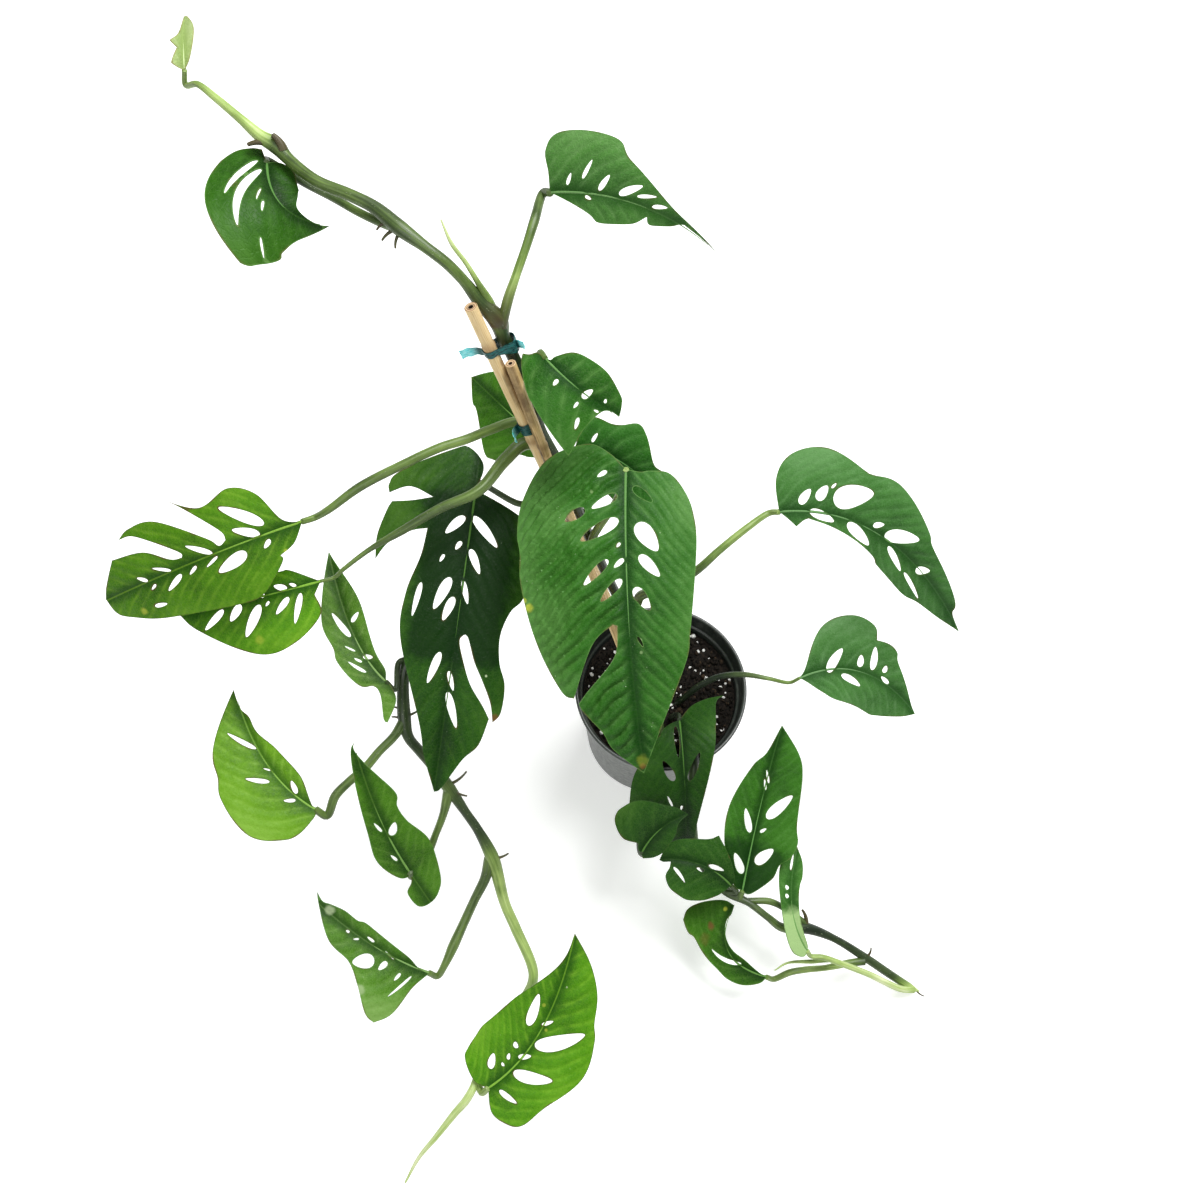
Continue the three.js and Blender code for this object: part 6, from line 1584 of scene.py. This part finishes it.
@dataclass
class Soil:
    """The potting mix: a crumbly bed with loose crumbs and white perlite."""

    pot: Pot
    top: float = 111
    crumb: float = 1.3
    gap: float = 0.3
    crumbs: int = 1500
    crumb_sizes: tuple[float, float] = (0.8, 2.0)
    perlite: int = 210
    perlite_sizes: tuple[float, float] = (0.9, 1.75)
    seed: int = 7
    rings: int = 45
    sides: int = 120

    def height(self, x: Array, y: Array) -> Array:
        """Height of the bed: each wave's share of the crumb, times a sine across and a cosine along."""
        waves = ((1.0, 0.31, 0.27), (0.5, 0.63, 0.41), (0.4, 0.12, 0.83))
        return self.top + self.crumb * sum(
            share * np.sin(x * across + share) * np.cos(y * along) for share, across, along in waves)

    def side(self, z: float) -> float:
        """Radius of the plug at a height: the pot's inside less a gap."""
        pot = self.pot
        rise = (pot.body_top_radius - pot.base_radius) * (z - pot.floor) / (pot.height - pot.rim_height)
        return pot.base_radius - pot.wall + rise - self.gap * 1.5

    def bed(self) -> Surface:
        """The plug turned about its axis, with its top raised by the waves and by finer ones."""
        outer = self.side(self.top - 2)
        bottom = self.pot.floor + self.gap
        rings = outer * np.arange(self.rings - 1, 0, -1) / self.rings
        profile = np.array([(0.0, bottom), (self.side(bottom), bottom), (outer, self.top - 2),
                            *((radius, self.top) for radius in rings), (0.0, self.top)])
        body = lathe(profile, self.sides)
        x, y, z = body.points.T
        reach = np.hypot(x, y)
        upper = (z > self.top - 2.5) & (reach < outer - 0.1)
        fine = 0.5 * np.sin(x * 1.9 + np.sin(y * 1.3)) * np.cos(y * 1.7 - x * 0.6)
        blend = ease(outer - reach, 0.0, 6.0)
        raised = self.top - 2 + (self.height(x, y) + fine - self.top + 2) * blend
        body.points[:, 2] = np.where(upper, raised, z)
        body.values = {"chance": np.full(len(body.points), 0.5)}
        return body

    def lumps(self, count: int, low: float, high: float, seed: int) -> Surface:
        """Loose lumps sunk by a third into the bed, spread evenly over its area."""
        draw = np.random.default_rng(seed)
        reach = (self.side(self.top) - 3) * np.sqrt(draw.uniform(0, 1, count))
        turn = draw.uniform(0, 2 * np.pi, count)
        x, y = reach * np.cos(turn), reach * np.sin(turn)
        sizes = draw.uniform(low, high, count) ** 1.5
        return scattered(np.stack([x, y, self.height(x, y) + sizes * 0.3], -1), sizes, draw)

    def build(self) -> None:
        """Builds and dresses the bed, its crumbs and its perlite."""
        s = Shader("moist_mix")
        grains = s.noise(s.place(), 420.0, 4.0, 0.7)
        colour = s.mix(s.fade(grains, 0.35, 0.75), (0.002, 0.0018, 0.0015), (0.022, 0.016, 0.011))
        colour = s.mix(s.fade(s.held("chance"), 0.8, 0.95, (0.0, 0.5)), colour, (0.07, 0.045, 0.025))
        s.set(Base_Color=colour, Roughness=0.85, Specular_IOR_Level=0.15)
        s.bump(grains, 0.9, 0.0012)
        bed = Surface.joined([self.bed(), self.lumps(self.crumbs, *self.crumb_sizes, self.seed)])
        dress(bed.make("soil_bed", s.material, 60), "potting_mix", "soil")
        p = Shader("white_perlite")
        pits = p.noise(p.place(), 900.0, 3.0, 0.7)
        white = p.mix(p.fade(pits, 0.35, 0.6), (0.42, 0.41, 0.38), (0.86, 0.86, 0.83))
        p.set(Base_Color=white, Roughness=0.9)
        p.bump(pits, 0.8, 0.0006)
        loose = self.lumps(self.perlite, *self.perlite_sizes, self.seed + 1)
        dress(loose.make("soil_perlite", p.material, 70), "potting_mix")


# Studio


@dataclass
class Studio:
    """The camera at the photo's viewpoint, a pale floor and soft light."""

    place: Point = (-0.060, -0.366, 1.169)
    elevation: float = 66.9
    roll: float = 5.0
    focal: float = 37.5
    sensor: float = 36.0
    floor_size: float = 12.0
    floor_lines: int = 13

    def camera(self) -> None:
        """Aims the camera: it looks along +Y and down by the elevation, turned about its view by the roll."""
        down, roll = math.radians(self.elevation), math.radians(self.roll)
        forward = Vector((0, math.cos(down), -math.sin(down)))
        right = Vector((1, 0, 0))
        up = right.cross(forward)
        x_axis = right * math.cos(roll) + up * math.sin(roll)
        y_axis = up * math.cos(roll) - right * math.sin(roll)
        data = bpy.data.cameras.new("view")
        data.lens, data.sensor_width, data.sensor_fit = self.focal, self.sensor, "HORIZONTAL"
        data.clip_end = 50
        view = bpy.data.objects.new("view", data)
        turn = Matrix((x_axis, y_axis, -forward)).transposed().to_4x4()
        view.matrix_world = Matrix.Translation(self.place) @ turn
        bpy.context.scene.collection.objects.link(view)
        bpy.context.scene.camera = view

    def floor(self) -> None:
        """A wide flat floor at the pot's base, as a coarse grid."""
        side = np.linspace(-self.floor_size / 2, self.floor_size / 2, self.floor_lines) / METRES
        x, y = np.meshgrid(side, side)
        points = np.stack([x.ravel(), y.ravel(), np.full(x.size, -0.3)], -1)
        s = Shader("floor_paper")
        s.set(Base_Color=(0.86, 0.86, 0.855), Roughness=0.9, Specular_IOR_Level=0.1)
        s.set(Emission_Color=(1.0, 1.0, 1.0), Emission_Strength=0.45)
        faces = grid_faces(self.floor_lines, self.floor_lines, False)
        Surface(points, [faces]).make("floor", s.material, None)

    def light(self, name: str, place: Point, aim: Point, size: float, power: float) -> None:
        """A square soft light that faces a point."""
        data = bpy.data.lights.new(name, "AREA")
        data.shape, data.size, data.energy = "SQUARE", size, power
        lamp = bpy.data.objects.new(name, data)
        way = Vector(aim) - Vector(place)
        lamp.matrix_world = Matrix.Translation(place) @ way.to_track_quat("-Z", "Y").to_matrix().to_4x4()
        bpy.context.scene.collection.objects.link(lamp)

    def build(self) -> None:
        """Builds the camera first, then the floor and the lights."""
        self.camera()
        self.floor()
        world = bpy.data.worlds.new("studio")
        world.use_nodes = True
        background = world.node_tree.nodes["Background"]
        background.inputs[0].default_value = (1.0, 1.0, 1.0, 1.0)
        background.inputs[1].default_value = 0.25
        bpy.context.scene.world = world
        self.light("softbox_top", place=(0.5, 0.9, 2.6), aim=(0, 0, 0.2), size=1.4, power=94.0)
        self.light("softbox_front", place=(-0.9, -1.6, 2.2), aim=(-0.1, 0, 0.2), size=1.6, power=24.0)
        bpy.context.scene.view_settings.view_transform = "Standard"


CANE_LONG = Cane("cane_long", foot=(7, 9, 25), top=(-156.5, 101.5, 520), radius=4.3, bore=1.6, bore_depth=30,
                 age=CaneAge.DRY, slot="bamboo",
                 stains=((398, 482, 0.6, 2.6, 0.95), (440, 470, -3.5, 1.2, 0.6), (330, 402, 0.0, 1.2, 0.5)))
CANE_SHORT = Cane("cane_short", foot=(5, -15.6, 27), top=(-131.9, 91.6, 476), radius=3.7, bore=1.2,
                  bore_depth=25, age=CaneAge.WEATHERED, slot="bamboo_aged",
                  stains=((428, 482, -5.0, 2.6, 0.75), (300, 425, -8.0, 1.4, 0.9)))
TIE_UPPER = Tie("tie_upper", at=484, drop=8.5, width_at_cane=5, width_at_vine=10, flag_width=6,
                flags=(((-4.85, 1.2), (-11.7, 5.5), (-20, 6.8)), ((16.8, 7.1), (18.6, 5.7), (21, 3.8))),
                cane=CANE_LONG, vine=SHOOTS["vine_main"][0].route)
TIE_LOWER = Tie("tie_lower", at=415, drop=0, width_at_cane=10, width_at_vine=10, flag_width=7,
                flags=(((-4.9, 0.9), (-9, -3), (-10, -8)),), cane=CANE_LONG)

LOOKS = {
    "leaf_top_left": LeafLook(PLAIN.toned(0.6, 0.72, 0.7), (0.4, 0.4)),
    "leaf_top_right": LeafLook(GREYISH.toned(1.3, 1.2, 1.1)),
    "leaf_stake_top": LeafLook(MATURE.toned(1.15, 1.0, 1.0), (0.3, 0.3)),
    "leaf_behind_stake": LeafLook(PLAIN),
    "leaf_behind_big": LeafLook(MATURE),
    "leaf_big": LeafLook(
        MATURE.toned(0.95, 0.88, 0.85), (0.8, 2.8), 10.5, 0.7, speckle=0.8,
        spots=(Spot(68.3, 97.3, 3.5, YELLOWED), Spot(71.5, 92.0, 2.0, YELLOWED, 0.7),
               Spot(0.1, 213.6, 2.4, BROWNED), Spot(0.0, 209.0, 5.0, YELLOWED, 0.25),
               Spot(23.5, 17.5, 1.3, LIGHT, 0.6), Spot(-6.9, 124.1, 1.6, LIGHT, 0.5),
               Spot(-6.9, 132.7, 1.4, LIGHT, 0.5))),
    # leaf_dark: painted shade over its middle, for the shadow of the leaves above it
    "leaf_dark": LeafLook(
        DEEP.toned(1.2, 1.1, 1.1), (0.6, 0.5), 14.0, speckle=0.3, shade=(36.0, 8.0, 146.0, 0.85),
        spots=(Spot(-35.6, 176.0, 3.5, BROWNED), Spot(-25.6, 149.2, 1.0, BLEACHED),
               Spot(0.0, 1.0, 3.5, LIGHT, 0.5))),
    "leaf_left_upper": LeafLook(
        FRESH.toned(1.0, 0.95, 1.0), (0.5, 0.4),
        spots=(Spot(-17.9, 147.2, 3.0, YELLOWED, 0.7), Spot(-52.2, 83.8, 2.2, BLEACHED),
               Spot(-15.3, 22.4, 2.0, YELLOWED, 0.6), Spot(45.6, 98.9, 4.0, BROWNED, 0.4))),
    "leaf_left_lower": LeafLook(
        FRESH.toned(1.1, 1.1, 1.0), (0.4, 0.4), spots=(Spot(-29.8, 56.2, 4.0, YELLOWED, 0.4),)),
    "leaf_hanging_left": LeafLook(PLAIN.toned(2.2, 1.5, 3.0), (0.4, 0.4)),
    "leaf_left_round": LeafLook(BRIGHT.toned(0.9, 0.93, 0.9), (0.4, 0.4)),
    "leaf_twisted": LeafLook(PLAIN.toned(1.5, 1.3, 1.5), (0.4, 0.4)),
    "leaf_low_left": LeafLook(
        PLAIN.toned(2.0, 1.5, 2.8), (0.6, 0.5), speckle=0.4,
        spots=(Spot(2.2, 94.9, 4.0, BLEACHED, 0.6), Spot(-33.0, 44.7, 4.0, BLEACHED, 0.4))),
    "leaf_front": LeafLook(
        FRESH.toned(1.1, 1.15, 1.0), speckle=0.4,
        spots=(Spot(4.9, 113.9, 1.0, BLEACHED), Spot(-6.6, 94.4, 1.6, YELLOWED, 0.5),
               Spot(3.4, 77.0, 1.6, YELLOWED, 0.6))),
    "leaf_right_upper": LeafLook(GREYISH, (0.6, 0.6)),
    "leaf_right_lower": LeafLook(GREYISH.toned(1.25, 1.15, 1.3), (0.6, 0.6)),
    "leaf_over_rim": LeafLook(DEEP),
    "leaf_under_rim": LeafLook(DEEP.toned(1.3, 1.15, 1.5), (0.3, 0.3)),
    "leaf_low_front": LeafLook(DEEP.toned(1.6, 1.35, 2.0), (0.3, 0.3)),
    # leaf_low_right: painted shade over its lower half, which turns away from the light
    "leaf_low_right": LeafLook(PLAIN.toned(0.85, 1.05, 1.3), shade=(34.0, -20.0, 40.0, 0.75)),
    "leaf_folded": LeafLook(
        GREYISH.toned(1.1, 1.1, 0.8), (0.3, 0.3), shade=(30.0, -20.0, 44.0, 0.9), shade_colour=PALE_BACK),
    "leaf_low_curled": LeafLook(
        PLAIN, (0.3, 0.3),
        spots=(Spot(-13.5, 66.1, 3.6, BROWNED), Spot(-19.0, 57.0, 5.0, BROWNED, 0.35),
               Spot(-6.0, 80.6, 2.0, YELLOWED))),
    "leaf_young_tip": LeafLook(YOUNG, (0.1, 0.1), wave=0.2),
}


def main() -> None:
    """Builds the studio, then the pot, the canes and ties, the stems and the leaves."""
    logging.basicConfig(level=logging.INFO, format="%(message)s")
    pot = Pot()
    for part in (Studio(), pot, Soil(pot), CANE_LONG, CANE_SHORT, TIE_UPPER, TIE_LOWER):
        part.build()
    for name, shoots in SHOOTS.items():
        Stem(name, shoots, ROOTS.get(name, ())).build()
    for name, shape in LEAVES.items():
        Leaf(name, shape, LOOKS[name]).build()


if __name__ == "__main__":
    main()
